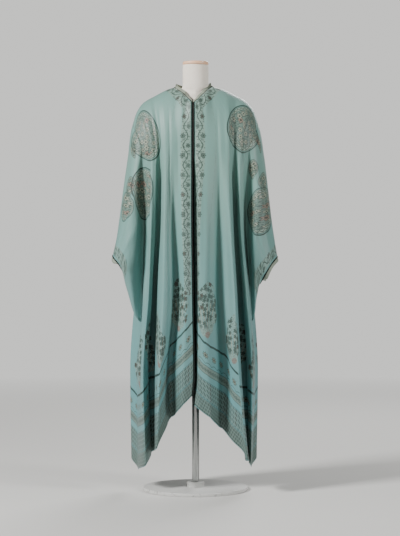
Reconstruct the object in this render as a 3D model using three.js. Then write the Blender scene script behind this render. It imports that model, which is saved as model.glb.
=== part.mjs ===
// An open-fronted silk kaftan, worn on a limbless dress form that stands on a pole and a round base.
// Millimetres, +Z up, the open front faces -Y. Left and right are the viewer's: left is -X.
// The origin is the middle of the base's underside, on the floor.
//
// The cloth hangs as two fronts and a back from one line over the shoulders. Each panel is a fan of
// hanging lines, one for each fold crest and trough, and the wall is drawn smoothly across them.
// The sleeves are tubes lofted from the armhole edges of those panels down to the cuffs.
import * as THREE from "three";

// ---- driving dimensions -------------------------------------------------------------------------
const CLOTH = 2; // wall of the silk with its turned edges and facing
const SEAM = 0.4; // gap between sewn pieces
const CORD_RADIUS = 2; // the dark cord sewn along neck, fronts and cuffs
const CORD_SIDES = 6;
const CORD_AWAY = CORD_RADIUS + SEAM + 0.1; // from the cloth's edge to the cord's middle
const OPENING_X = -9; // the middle between the two fronts' cords
const BAND_WIDTH = 13; // plain band outside the cord, at neck and cuffs
const BAND_TURN = [1.2, 0.2]; // how far the neck band stands up, in radians: beside the neck, and in the V
const V_FROM_Y = -20; // in front of this, the neckline is the V
const CHEST_Z = 1230;
const WAIST_Z = 1000;
const HIP_Z = 720;
const KNEE_Z = 430;

const BASE_RADIUS = 190;
const BASE_THICK = 12;
const POLE_RADIUS = 13;
const HUB_RADIUS = 32;
const HUB_TOP = 30;
const TORSO_BOTTOM = 800;
const NECK_TOP = 1543;
const CAP_THICK = 12;
const CAP_RADIUS = 47;

const ARMHOLE_GAP = 1.6 * SEAM; // from the armhole's edge to the sleeve, along the cloth
const UNDERARM_OUT = 1.6; // how far the sleeve stands out beside the side seam
const UNDERARM_LIFT = 2; // how far it starts above the side seam's top

// Samples of the walls.
const ROLL_STEPS = 5; // from the shoulder line to the chest
const FALL_STEPS = 13; // from the chest to the hem
const UNDERARM_STEP = ROLL_STEPS + 7; // the row where armhole ends and side seam starts
const FOLD_STEPS = 3; // across, from one crest or trough to the next
const SIDE_ROUND = 60; // how strongly a side seam's two panels run into each other
const CUFF_SMOOTH = 12; // how often the cuff's direction is evened out round its ring

const MITRE = 0.45; // the least cosine a wall's corner is mitred for

// ---- tables -------------------------------------------------------------------------------------
// A table's rows as objects, keyed by its column names.
const named = (columns, row) => Object.fromEntries(row.map((cell, k) => [columns[k], cell]));
const table = (columns, rows) => rows.map((row) => named(columns, row));

// The shoulder line, the same on both sides: height at a distance from the middle.
const SHOULDER = [
  { x: 60, z: 1466 },
  { x: 80, z: 1461 },
  { x: 106, z: 1452 },
  { x: 146, z: 1431 },
  { x: 182, z: 1411 },
  { x: 203, z: 1390 },
  { x: 218, z: 1360 },
  { x: 229, z: 1325 },
];

// One row for each hanging line. It starts at top: x on the shoulder line, or x, y, z on the neckline.
// It passes chest, waist, hip and knee at x, y, and ends at the hem's x, y, z. A side also has the
// place of the underarm, where front and back meet.
const FOLD_COLUMNS = ["line", "top", "chest", "waist", "hip", "under", "knee", "hem"];
const FRONT_LEFT = table(FOLD_COLUMNS, [
  ["edge", [-15, -106, 1400], [-15, -129], [-15, -137], [-12, -140], [], [-8, -143], [-13, -146, 352]],
  ["border", [-43, -64, 1432], [-44, -130], [-43, -141], [-34, -147], [], [-42, -153], [-44, -156, 322]],
  ["neck", [-79], [-78, -126], [-77, -118], [-68, -114], [], [-90, -104], [-86, -100, 272]],
  ["crest", [-118], [-105, -123], [-108, -139], [-113, -150], [], [-127, -158], [-136, -160, 168]],
  ["trough", [-156], [-129, -106], [-137, -84], [-155, -68], [], [-158, -60], [-152, -62, 148]],
  ["crest", [-192], [-153, -104], [-162, -112], [-184, -116], [], [-193, -118], [-177, -112, 102]],
  ["side", [-229], [-192, -86], [-184, -52], [-191, -26], [-197, 0], [-212, 0], [-209, 0, 72]],
]);

const FRONT_RIGHT = table(FOLD_COLUMNS, [
  ["edge", [-3, -106, 1400], [-3, -128], [-4, -116], [-2, -108], [], [4, -130], [-4, -146, 320]],
  ["turn", [12, -92, 1414], [14, -131], [14, -141], [15, -144], [], [13, -149], [18, -157, 302]],
  ["border", [32, -66, 1436], [38, -130], [38, -142], [34, -148], [], [41, -153], [52, -158, 277]],
  ["neck", [63], [78, -126], [85, -118], [76, -110], [], [92, -104], [96, -104, 232]],
  ["crest", [106], [111, -123], [119, -138], [133, -149], [], [162, -156], [183, -158, 126]],
  ["trough", [150], [137, -106], [141, -82], [157, -62], [], [178, -56], [186, -60, 112]],
  ["crest", [190], [160, -104], [161, -108], [181, -104], [], [202, -90], [199, -82, 95]],
  ["side", [229], [192, -84], [179, -50], [196, -22], [204, 0], [216, 0], [203, 0, 81]],
]);

const BACK = table(FOLD_COLUMNS, [
  ["side", [-229], [-194, 80], [-190, 54], [-194, 26], [-197, 0], [-212, 0], [-209, 0, 72]],
  ["crest", [-206], [-176, 98], [-194, 104], [-222, 92], [], [-240, 46], [-236, 52, 112]],
  ["trough", [-170], [-146, 106], [-158, 78], [-178, 56], [], [-196, 66], [-190, 70, 150]],
  ["crest", [-128], [-112, 120], [-120, 134], [-132, 142], [], [-146, 148], [-150, 150, 202]],
  ["neck", [-79], [-72, 120], [-74, 104], [-80, 92], [], [-88, 84], [-92, 88, 262]],
  ["crest", [-44, 60, 1455], [-34, 124], [-30, 136], [-32, 146], [], [-36, 154], [-40, 158, 318]],
  ["trough", [2, 70, 1451], [14, 124], [16, 110], [14, 102], [], [10, 92], [8, 94, 336]],
  ["crest", [40, 58, 1456], [52, 123], [58, 137], [60, 147], [], [62, 156], [62, 160, 312]],
  ["neck", [63], [88, 119], [98, 102], [104, 90], [], [110, 80], [112, 84, 240]],
  ["crest", [124], [130, 118], [138, 130], [150, 138], [], [166, 142], [170, 144, 176]],
  ["trough", [170], [152, 104], [164, 74], [182, 54], [], [198, 62], [194, 66, 140]],
  ["crest", [206], [178, 96], [192, 100], [212, 82], [], [228, 40], [224, 44, 114]],
  ["side", [229], [194, 80], [188, 54], [198, 26], [204, 0], [216, 0], [203, 0, 81]],
]);

// One row for each sleeve ring, at a share of the way from armhole to cuff: x, z of its top on the arm
// line, then x, y, z of two points down its front, of the seam under it, and of two points up its back.
const RING_COLUMNS = ["at", "top", "front_high", "front_low", "under", "back_low", "back_high"];
const SLEEVE_LEFT = table(RING_COLUMNS, [
  [0.2, [-246, 1210], [-229, -82, 1110], [-211, -74, 865], [-211, -4, 620], [-211, 40, 870], [-229, 60, 1100]],
  [0.45, [-262, 1100], [-252, -66, 1020], [-235, -84, 835], [-226, -10, 646], [-236, 34, 835], [-252, 52, 1015]],
  [0.64, [-277, 985], [-270, -56, 930], [-254, -80, 818], [-245, -14, 712], [-254, 36, 818], [-270, 48, 925]],
  [0.79, [-288, 910], [-282, -54, 882], [-265, -74, 820], [-256, -16, 750], [-265, 42, 820], [-282, 48, 880]],
  [0.88, [-297, 870], [-289, -54, 856], [-272, -66, 824], [-263, -14, 782], [-272, 46, 824], [-289, 46, 856]],
  [1, [-303, 844], [-296, -48, 834], [-281, -56, 822], [-271, -12, 808], [-281, 44, 822], [-296, 44, 834]],
]);
const SLEEVE_RIGHT = table(RING_COLUMNS, [
  [0.2, [249, 1215], [231, -82, 1120], [206, -74, 868], [212, -2, 624], [208, 38, 870], [231, 60, 1110]],
  [0.45, [262, 1110], [247, -70, 1030], [214, -78, 838], [217, -6, 648], [216, 36, 838], [248, 54, 1025]],
  [0.64, [277, 980], [259, -62, 920], [225, -74, 822], [221, -6, 690], [226, 38, 818], [264, 50, 920]],
  [0.79, [288, 905], [268, -58, 868], [236, -68, 806], [226, -10, 718], [236, 42, 804], [276, 48, 872]],
  [0.88, [294, 868], [272, -56, 842], [244, -62, 792], [229, -10, 736], [244, 42, 790], [280, 46, 844]],
  [1, [300, 838], [277, -50, 814], [252, -54, 778], [235, -10, 752], [250, 40, 774], [280, 42, 814]],
]);
const SLEEVE_AT = [0, 0.07, 0.15, 0.24, 0.34, 0.45, 0.55, 0.64, 0.72, 0.79, 0.84, 0.88, 0.92, 0.955];
const SLEEVE_END = SLEEVE_AT.length - 1;

// The dress form by level: half width, half depth, how far its middle lies behind the pole, and how
// square it is: 2 is an ellipse. A width of 0 follows the shoulder line under the cloth.
const TORSO = [
  { z: TORSO_BOTTOM, wide: 120, deep: 80, back: -2, square: 2.3 },
  { z: 815, wide: 142, deep: 88, back: -4, square: 2.3 },
  { z: 870, wide: 152, deep: 93, back: -6, square: 2.3 },
  { z: 940, wide: 140, deep: 90, back: -4, square: 2.3 },
  { z: 1040, wide: 112, deep: 80, back: -2, square: 2.3 },
  { z: 1120, wide: 126, deep: 90, back: -6, square: 2.3 },
  { z: 1190, wide: 140, deep: 102, back: -9, square: 2.3 },
  { z: 1260, wide: 148, deep: 98, back: -5, square: 2.3 },
  { z: 1330, wide: 158, deep: 82, back: 0, square: 2.3 },
  { z: 1375, wide: 165, deep: 68, back: 0, square: 2.3 },
  { z: 1400, wide: 166, deep: 56, back: 0, square: 2 },
  { z: 1412, wide: 0, deep: 52, back: 0, square: 1.3 },
  { z: 1422, wide: 0, deep: 48, back: 0, square: 1.3 },
  { z: 1432, wide: 0, deep: 47, back: 1, square: 1.25 },
  { z: 1436, wide: 0, deep: 47, back: 2, square: 1.2 },
  { z: 1442, wide: 118, deep: 46, back: 3, square: 1.15 },
  { z: 1448, wide: 84, deep: 46, back: 3, square: 1.2 },
  { z: 1453, wide: 60, deep: 45, back: 3, square: 1.5 },
  { z: 1459, wide: 50, deep: 45, back: 3, square: 1.9 },
  { z: 1468, wide: 47, deep: 45, back: 3, square: 2 },
  { z: NECK_TOP, wide: 47, deep: 46, back: 3, square: 2 },
];
const SHOULDER_CLEAR = 1.1; // gap between the form and the cloth that rests on it
const FORM_SIDES = 32;

// ---- curves -------------------------------------------------------------------------------------
const V = (x, y, z) => new THREE.Vector3(x, y, z);
const mix = (a, b, t) => a + (b - a) * t;

// A smooth curve through knots that never overshoots them. Knots rise.
function monotone(knots, values) {
  const slope = knots.slice(1).map((k, i) => (values[i + 1] - values[i]) / (k - knots[i]));
  const tangent = values.map((_, i) => {
    if (i === 0) return slope[0];
    if (i === values.length - 1) return slope[i - 1];
    const [a, b] = [slope[i - 1], slope[i]];
    return a * b <= 0 ? 0 : (2 * a * b) / (a + b);
  });
  return (at) => {
    let i = 0;
    while (i < knots.length - 2 && at > knots[i + 1]) i++;
    const step = knots[i + 1] - knots[i];
    const t = (at - knots[i]) / step;
    return hermite(values[i], values[i + 1], tangent[i] * step, tangent[i + 1] * step, t);
  };
}

function hermite(a, b, ta, tb, t) {
  const t2 = t * t;
  const t3 = t2 * t;
  return (2 * t3 - 3 * t2 + 1) * a + (t3 - 2 * t2 + t) * ta + (3 * t2 - 2 * t3) * b + (t3 - t2) * tb;
}

// A point of the curve from a to b that leaves along ta and arrives along tb.
const between = (a, b, ta, tb, t) =>
  V(hermite(a.x, b.x, ta.x, tb.x, t), hermite(a.y, b.y, ta.y, tb.y, t), hermite(a.z, b.z, ta.z, tb.z, t));

const shoulderLine = monotone(SHOULDER.map((p) => p.x), SHOULDER.map((p) => p.z));
const shoulderZ = (x) => shoulderLine(Math.max(Math.abs(x), SHOULDER[0].x));

// The half width at which the shoulder line has a height.
function shoulderX(z) {
  let [near, far] = [SHOULDER[0].x, SHOULDER[SHOULDER.length - 1].x];
  for (let i = 0; i < 30; i++) {
    const middle = (near + far) / 2;
    if (shoulderZ(middle) > z) near = middle;
    else far = middle;
  }
  return near;
}

// ---- hanging lines and panels -------------------------------------------------------------------
// The points of one hanging line, from its top down: a quarter round over the shoulder, then a fall.
function hangingLine(row) {
  const [topX, topY = 0, topZ = shoulderZ(topX)] = row.top;
  const [hemX, hemY, hemZ] = row.hem;
  const underarmZ = mix(CHEST_Z, hemZ, (UNDERARM_STEP - ROLL_STEPS) / FALL_STEPS);
  const levels = [CHEST_Z, WAIST_Z, HIP_Z, underarmZ, KNEE_Z, hemZ];
  const marks = [row.chest, row.waist, row.hip, row.under, row.knee, [hemX, hemY]];
  const drop = levels.filter((_, k) => marks[k].length).map((z) => -z);
  const stations = marks.filter((mark) => mark.length);
  const xAt = monotone([-topZ, ...drop], [topX, ...stations.map((s) => s[0])]);
  const yAt = monotone(drop, stations.map((s) => s[1]));
  const points = [];
  for (let j = 0; j <= ROLL_STEPS; j++) {
    const turn = ((j / ROLL_STEPS) * Math.PI) / 2;
    const z = mix(topZ, CHEST_Z, 1 - Math.cos(turn));
    points.push(V(xAt(-z), mix(topY, row.chest[1], Math.sin(turn)), z));
  }
  for (let j = 1; j <= FALL_STEPS; j++) {
    const z = mix(CHEST_Z, hemZ, j / FALL_STEPS);
    points.push(V(xAt(-z), yAt(-z), z));
  }
  return points;
}

// The way the wall runs across a hanging line, by level. Crests and troughs run level in plan. A side
// line runs level beside the armhole and straight back, towards the other panel, down the side seam.
function crossing(lines, rows, i, j, facing) {
  const before = lines[Math.max(i - 1, 0)][j];
  const after = lines[Math.min(i + 1, lines.length - 1)][j];
  const inner = i > 0 && i < lines.length - 1;
  const way = V(after.x - before.x, 0, 0).multiplyScalar(inner ? 0.5 : 1);
  if (rows[i].line !== "side") return way;
  const below = THREE.MathUtils.smoothstep(j, UNDERARM_STEP - 3, UNDERARM_STEP);
  const along = i === 0 ? facing : -facing;
  return way.multiplyScalar(1 - below).add(V(0, along * SIDE_ROUND * below, 0));
}

const onShoulder = (row) => row.top.length === 1;

// How far the shoulder line rises above a straight line from one hanging line's top to the next.
function shoulderRise(lines, i, t) {
  const [a, b] = [lines[i][0], lines[i + 1][0]];
  return shoulderZ(mix(a.x, b.x, t)) - mix(a.z, b.z, t);
}

// The neckline leaves the neck point aslant, not level like a fold.
const neckSlope = (row, a, b, j) => (row.line === "neck" ? (b.y - a.y) * (1 - j / ROLL_STEPS) : 0);

// The outer points of a panel: grid[j][i], rows from the top to the hem, columns from -X to +X or back.
function panelGrid(rows, facing) {
  const lines = rows.map(hangingLine);
  return lines[0].map((_, j) => {
    const across = [];
    for (let i = 0; i < rows.length - 1; i++) {
      const [a, b] = [lines[i][j], lines[i + 1][j]];
      const [ta, tb] = [crossing(lines, rows, i, j, facing), crossing(lines, rows, i + 1, j, facing)];
      if (j < ROLL_STEPS && !onShoulder(rows[i + 1])) ta.y += neckSlope(rows[i], a, b, j);
      if (j < ROLL_STEPS && !onShoulder(rows[i])) tb.y += neckSlope(rows[i + 1], a, b, j);
      const last = i === rows.length - 2 ? FOLD_STEPS : FOLD_STEPS - 1;
      for (let k = 0; k <= last; k++) {
        const t = k / FOLD_STEPS;
        const p = between(a, b, ta, tb, t).setZ(mix(a.z, b.z, t));
        if (onShoulder(rows[i]) && onShoulder(rows[i + 1]) && j < ROLL_STEPS)
          p.z += shoulderRise(lines, i, t) * Math.cos(((j / ROLL_STEPS) * Math.PI) / 2);
        across.push(p);
      }
    }
    return across;
  });
}

// The direction out of the cloth at each grid point, and how much longer than the wall is thick the way
// through it is there, because of the folds beside it. side is 1 or -1, by the grid's winding.
function normals(grid, side, closed = false) {
  const [rows, columns] = [grid.length, grid[0].length];
  const column = (i) => (closed ? (i + columns) % columns : i);
  const face = (j, i) => {
    if (j < 0 || j >= rows - 1 || (!closed && (i < 0 || i >= columns - 1))) return null;
    const [left, right] = [column(i), column(i + 1)];
    const along = grid[j + 1][right].clone().sub(grid[j][left]);
    const across = grid[j][right].clone().sub(grid[j + 1][left]);
    return across.cross(along).multiplyScalar(side).normalize();
  };
  return grid.map((line, j) =>
    line.map((_, i) => {
      const faces = [face(j - 1, i - 1), face(j - 1, i), face(j, i - 1), face(j, i)].filter(Boolean);
      const out = faces.reduce((sum, f) => sum.add(f), V()).normalize();
      out.reach = 1 / Math.max(MITRE, Math.min(...faces.map((f) => f.dot(out))));
      return out;
    }),
  );
}

// The wall's inner points behind a grid.
const behind = (p, out) => p.clone().addScaledVector(out, -CLOTH * (out.reach ?? 1));
const inset = (grid, out) => grid.map((line, j) => line.map((p, i) => behind(p, out[j][i])));

// A closed wall between two grids. closed joins the last column to the first.
function wall(outer, inner, side, closed = false) {
  const [rows, columns] = [outer.length, outer[0].length];
  const position = [];
  for (const p of [outer, inner].flat(2)) position.push(p.x, p.y, p.z);
  const at = (layer, j, i) => layer * rows * columns + j * columns + (i % columns);
  const index = [];
  const quad = (a, b, c, d) => (side > 0 ? index.push(a, c, b, a, d, c) : index.push(a, b, c, a, c, d));
  const spans = closed ? columns : columns - 1;
  for (let j = 0; j < rows - 1; j++)
    for (let i = 0; i < spans; i++) {
      quad(at(0, j, i), at(0, j, i + 1), at(0, j + 1, i + 1), at(0, j + 1, i));
      quad(at(1, j, i), at(1, j + 1, i), at(1, j + 1, i + 1), at(1, j, i + 1));
    }
  for (let i = 0; i < spans; i++) {
    quad(at(0, 0, i), at(1, 0, i), at(1, 0, i + 1), at(0, 0, i + 1));
    quad(at(0, rows - 1, i), at(0, rows - 1, i + 1), at(1, rows - 1, i + 1), at(1, rows - 1, i));
  }
  const last = columns - 1;
  if (!closed)
    for (let j = 0; j < rows - 1; j++) {
      quad(at(0, j, 0), at(0, j + 1, 0), at(1, j + 1, 0), at(1, j, 0));
      quad(at(0, j, last), at(1, j, last), at(1, j + 1, last), at(0, j + 1, last));
    }
  const geometry = new THREE.BufferGeometry();
  geometry.setAttribute("position", new THREE.Float32BufferAttribute(position, 3));
  geometry.setIndex(index);
  return geometry;
}

// A panel with its outer and inner points. facing is -1 for a front and 1 for the back.
function makePanel(rows, facing) {
  const outer = panelGrid(rows, facing);
  for (const p of outer.flat()) p.y += (facing * SEAM) / 2;
  const leftToRight = rows[rows.length - 1].top[0] > rows[0].top[0];
  const side = (facing < 0 ? 1 : -1) * (leftToRight ? -1 : 1);
  const out = normals(outer, side);
  const flat = (n) => n.setY(0).normalize();
  outer[0].forEach((p, i) => Math.abs(p.y) < SEAM && flat(out[0][i]));
  const sides = [0, outer[0].length - 1].filter((i) => rows[i ? rows.length - 1 : 0].line === "side");
  for (const i of sides) out.slice(UNDERARM_STEP).forEach((line) => flat(line[i]));
  return { outer, inner: inset(outer, out), out, side };
}

const frontLeft = makePanel(FRONT_LEFT, -1);
const frontRight = makePanel(FRONT_RIGHT, -1);
const back = makePanel(BACK, 1);

// ---- sleeves ------------------------------------------------------------------------------------
// A column of a panel from the shoulder to the underarm, with the way on into the sleeve.
function armholeEdge(panel, last) {
  const edge = last ? panel.outer[0].length - 1 : 0;
  const beside = last ? edge - 1 : 1;
  return panel.outer.slice(0, UNDERARM_STEP + 1).map((line) => ({
    outer: line[edge],
    onward: line[edge].clone().sub(line[beside]).normalize(),
  }));
}

// A smooth ring through a row's six points, sampled so that its points follow the armhole's.
function sleeveRing(row) {
  const [topX, topZ] = row.top;
  const around = [row.front_high, row.front_low, row.under, row.back_low, row.back_high];
  const marks = [V(topX, 0, topZ), ...around.map((p) => V(...p))];
  const curve = new THREE.CatmullRomCurve3(marks, true, "centripetal");
  const count = 2 * UNDERARM_STEP;
  const stretch = count / marks.length;
  return Array.from({ length: count }, (_, i) => {
    const k = Math.floor(i / stretch);
    const chord = marks[k].clone().lerp(marks[(k + 1) % marks.length], i / stretch - k);
    const far = Math.min(Math.abs(i - UNDERARM_STEP) / stretch, 1);
    return curve.getPoint(i / count).lerp(chord, (1 - row.at) * (1 - far ** 2));
  });
}

// The sleeve's first ring, just off the armhole edges of a front and of the back, with the way on into
// the sleeve. Low down it turns outwards, and at the underarm it is lifted clear of the side seam.
function sleeveStart(frontEdge, backEdge, outward) {
  const start = [];
  for (let i = 0; i < 2 * UNDERARM_STEP; i++) {
    const inFront = i <= UNDERARM_STEP;
    const j = inFront ? i : 2 * UNDERARM_STEP - i;
    const [a, b] = inFront ? [frontEdge[j], backEdge[j]] : [backEdge[j], frontEdge[j]];
    const shared = j === 0 || j === UNDERARM_STEP;
    const pick = (key) => (shared ? a[key].clone().add(b[key]).multiplyScalar(0.5) : a[key].clone());
    const low = THREE.MathUtils.smoothstep(j, UNDERARM_STEP - 6, UNDERARM_STEP - 2);
    const end = THREE.MathUtils.smoothstep(j, UNDERARM_STEP - 2, UNDERARM_STEP);
    const onward = pick("onward").multiplyScalar(1 - low).add(V(outward * low, 0, 0.3 * low)).normalize();
    const apart = pick("onward").normalize().multiplyScalar(ARMHOLE_GAP * (1 - end));
    apart.add(V(outward * UNDERARM_OUT * low, 0, UNDERARM_LIFT * end));
    start.push({ outer: pick("outer").add(apart), onward });
  }
  start.forEach((s, i) => {
    s.seam = start[(i + 1) % start.length].outer.clone().sub(start.at(i - 1).outer).normalize();
  });
  return start;
}

// A sleeve lofted from the armhole through the rings of its table.
function makeSleeve(rows, front, frontLast, backLast) {
  const outward = Math.sign(rows[0].top[0]);
  const start = sleeveStart(armholeEdge(front, frontLast), armholeEdge(back, backLast), outward);
  const rings = rows.map(sleeveRing);
  const knots = [0, ...rows.map((r) => r.at)];
  const through = start.map((s, i) => [s.outer, ...rings.map((ring) => ring[i])]);
  const tangent = (i, n, step) => {
    const marks = through[i];
    if (n === 0) {
      const reach = marks[1].clone().sub(marks[0]);
      const along = start[i].seam.clone().multiplyScalar(reach.dot(start[i].seam));
      return start[i].onward.clone().multiplyScalar(reach.distanceTo(along)).add(along);
    }
    const [from, to] = [n - 1, Math.min(n + 1, marks.length - 1)];
    return marks[to].clone().sub(marks[from]).multiplyScalar(step / (knots[to] - knots[from]));
  };
  const point = (at, i) => {
    let k = 0;
    while (k < knots.length - 2 && at > knots[k + 1]) k++;
    const step = knots[k + 1] - knots[k];
    const [a, b] = [through[i][k], through[i][k + 1]];
    return between(a, b, tangent(i, k, step), tangent(i, k + 1, step), (at - knots[k]) / step);
  };
  const outer = SLEEVE_AT.map((at) => start.map((_, i) => point(at, i)));
  const out = normals(outer, outward, true);
  let onward = start.map((_, i) => point(1, i).sub(outer[SLEEVE_END][i]).normalize());
  for (let pass = 0; pass < CUFF_SMOOTH; pass++)
    onward = onward.map((way, i) => {
      const [before, after] = [onward.at(i - 1), onward[(i + 1) % onward.length]];
      return way.clone().multiplyScalar(2).add(before).add(after).normalize();
    });
  return { outer, inner: inset(outer, out), out, side: outward, onward };
}

const sleeveLeft = makeSleeve(SLEEVE_LEFT, frontLeft, true, false);
const sleeveRight = makeSleeve(SLEEVE_RIGHT, frontRight, true, true);

// ---- cords and bands ----------------------------------------------------------------------------
// A round cord along points. Each point has the directions that its section lies in.
function cord(path, closed = false) {
  const position = [];
  const index = [];
  for (const { at, out, aside } of path)
    for (let k = 0; k < CORD_SIDES; k++) {
      const angle = (k / CORD_SIDES) * 2 * Math.PI;
      const p = at.clone().addScaledVector(out, CORD_RADIUS * Math.cos(angle));
      p.addScaledVector(aside, CORD_RADIUS * Math.sin(angle));
      position.push(p.x, p.y, p.z);
    }
  const count = path.length;
  const spans = closed ? count : count - 1;
  for (let j = 0; j < spans; j++)
    for (let k = 0; k < CORD_SIDES; k++) {
      const [here, next] = [j * CORD_SIDES, ((j + 1) % count) * CORD_SIDES];
      const beside = (k + 1) % CORD_SIDES;
      index.push(here + k, here + beside, next + beside, here + k, next + beside, next + k);
    }
  if (!closed)
    for (let k = 1; k < CORD_SIDES - 1; k++) {
      index.push(0, k + 1, k);
      const end = (count - 1) * CORD_SIDES;
      index.push(end, end + k, end + k + 1);
    }
  const geometry = new THREE.BufferGeometry();
  geometry.setAttribute("position", new THREE.Float32BufferAttribute(position, 3));
  geometry.setIndex(index);
  return faceOut(geometry);
}

// Turns a closed geometry's faces outwards, by the sign of its volume.
function faceOut(geometry) {
  const p = geometry.attributes.position;
  const index = [...geometry.index.array];
  const corner = (k) => V().fromBufferAttribute(p, index[k]);
  let volume = 0;
  for (let k = 0; k < index.length; k += 3) volume += corner(k).dot(corner(k + 1).cross(corner(k + 2)));
  if (volume < 0) index.reverse();
  return geometry.setIndex(index);
}

// An edge of a panel as points in the middle of the wall, with the way out of the cloth and the way
// off the edge, square to the edge. An end on the shoulder line is cut level with the shoulder seam.
function edgePath(points) {
  return points.map((p, k) => {
    const [before, after] = [points[Math.max(k - 1, 0)], points[Math.min(k + 1, points.length - 1)]];
    const run = after.middle.clone().sub(before.middle).normalize();
    const onSeam = (before === p || after === p) && Math.abs(p.middle.y) < SEAM;
    const aside = onSeam ? V(-p.middle.x, 0, 0) : p.away.clone().addScaledVector(run, -p.away.dot(run));
    aside.addScaledVector(p.out, -aside.dot(p.out)).normalize();
    return { middle: p.middle, out: p.out, aside };
  });
}

function edgePoint(panel, j, i, [besideJ, besideI]) {
  return {
    middle: panel.outer[j][i].clone().add(panel.inner[j][i]).multiplyScalar(0.5),
    out: panel.out[j][i],
    away: panel.outer[j][i].clone().sub(panel.outer[besideJ][besideI]).normalize(),
  };
}

const moved = (distance) => ({ middle, out, aside }) => {
  return { at: middle.clone().addScaledVector(aside, distance), out, aside };
};
const movedAside = (path, distance) => path.map(moved(distance));

// How many columns from the front edge a front's neckline has.
const necklineColumns = (rows) => rows.findIndex((r) => r.line === "neck") * FOLD_STEPS;

// A front's neckline from the neck point down to the V, then its front edge down to the hem.
function frontEdge(panel, rows) {
  const columns = necklineColumns(rows);
  const neck = [];
  for (let i = columns; i > 0; i--) neck.push(edgePoint(panel, 0, i, [1, i]));
  const fall = [];
  for (let j = 1; j < panel.outer.length; j++) fall.push(edgePoint(panel, j, 0, [j, 1]));
  const corner = edgePoint(panel, 0, 0, [1, 1]);
  return { neck: edgePath([...neck, corner]), all: edgePath([...neck, corner, ...fall]) };
}

// The plain band above a neckline cord, stood up towards the neck. In the V it stops where it would
// pass the middle of the opening.
function neckBand(path, turns) {
  const from = 2 * CORD_AWAY;
  const strips = [];
  path.forEach(({ middle, out, aside }, k) => {
    const turn = mix(...turns, k / (path.length - 1));
    const way = aside.clone().multiplyScalar(Math.cos(turn)).addScaledVector(out, Math.sin(turn));
    const face = out.clone().multiplyScalar(Math.cos(turn)).addScaledVector(aside, -Math.sin(turn));
    const foot = middle.clone().addScaledVector(out, CLOTH / 2).addScaledVector(aside, from);
    const inV = middle.y < V_FROM_Y;
    const room = inV ? (Math.abs(foot.x - OPENING_X) - SEAM) / Math.abs(way.x) : BAND_WIDTH;
    const width = Math.min(BAND_WIDTH, room);
    if (width > CLOTH) strips.push({ foot, way, face, width });
  });
  const line = (share) => strips.map((s) => s.foot.clone().addScaledVector(s.way, s.width * share));
  const outer = [line(1), line(0)];
  const out = [strips.map((s) => s.face), strips.map((s) => s.face)];
  return faceOut(wall(outer, inset(outer, out), 1));
}

const edgeLeft = frontEdge(frontLeft, FRONT_LEFT);
const edgeRight = frontEdge(frontRight, FRONT_RIGHT);

// The back's neckline, between the two troughs that start beside the neck.
function backNeck() {
  const first = BACK.findIndex((r) => r.line === "neck") * FOLD_STEPS;
  const last = BACK.findLastIndex((r) => r.line === "neck") * FOLD_STEPS;
  const points = [];
  for (let i = first; i <= last; i++) points.push(edgePoint(back, 0, i, [1, i]));
  return edgePath(points);
}

// The cord and the band beyond a sleeve's last ring.
function cuff(sleeve) {
  const edge = sleeve.outer[SLEEVE_END];
  const ring = edge.map((p, i) => {
    const out = sleeve.out[SLEEVE_END][i];
    const aside = sleeve.onward[i].clone().addScaledVector(out, -sleeve.onward[i].dot(out)).normalize();
    return { middle: p.clone().add(sleeve.inner[SLEEVE_END][i]).multiplyScalar(0.5), out, aside };
  });
  const line = (distance) => edge.map((p, i) => p.clone().addScaledVector(ring[i].aside, distance));
  const outer = [line(2 * CORD_AWAY), line(2 * CORD_AWAY + BAND_WIDTH)];
  const out = [ring.map((r) => r.out), ring.map((r) => r.out)];
  return {
    cord: cord(movedAside(ring, CORD_AWAY), true),
    band: faceOut(wall(outer, inset(outer, out), sleeve.side, true)),
  };
}

const cuffLeft = cuff(sleeveLeft);
const cuffRight = cuff(sleeveRight);

// ---- dress form ---------------------------------------------------------------------------------
function torsoGeometry() {
  const position = [];
  for (const { z, wide, deep, back: shift, square } of TORSO)
    for (let k = 0; k < FORM_SIDES; k++) {
      const angle = (k / FORM_SIDES) * 2 * Math.PI;
      const half = wide || shoulderX(z + CLOTH + SHOULDER_CLEAR);
      const round = (v) => Math.sign(v) * Math.abs(v) ** (2 / square);
      position.push(half * round(Math.cos(angle)), shift + deep * round(Math.sin(angle)), z);
    }
  const index = [];
  for (let j = 0; j < TORSO.length - 1; j++)
    for (let k = 0; k < FORM_SIDES; k++) {
      const [a, b] = [j * FORM_SIDES + k, j * FORM_SIDES + ((k + 1) % FORM_SIDES)];
      index.push(a, b, b + FORM_SIDES, a, b + FORM_SIDES, a + FORM_SIDES);
    }
  const top = (TORSO.length - 1) * FORM_SIDES;
  for (let k = 1; k < FORM_SIDES - 1; k++) {
    index.push(0, k + 1, k);
    index.push(top, top + k, top + k + 1);
  }
  const geometry = new THREE.BufferGeometry();
  geometry.setAttribute("position", new THREE.Float32BufferAttribute(position, 3));
  geometry.setIndex(index);
  return geometry;
}

// A turned piece on the Z axis, from its profile of radius and height.
function turned(profile) {
  const geometry = new THREE.LatheGeometry(profile.map(([r, z]) => new THREE.Vector2(r, z)), FORM_SIDES);
  return geometry.rotateX(Math.PI / 2);
}

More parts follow.
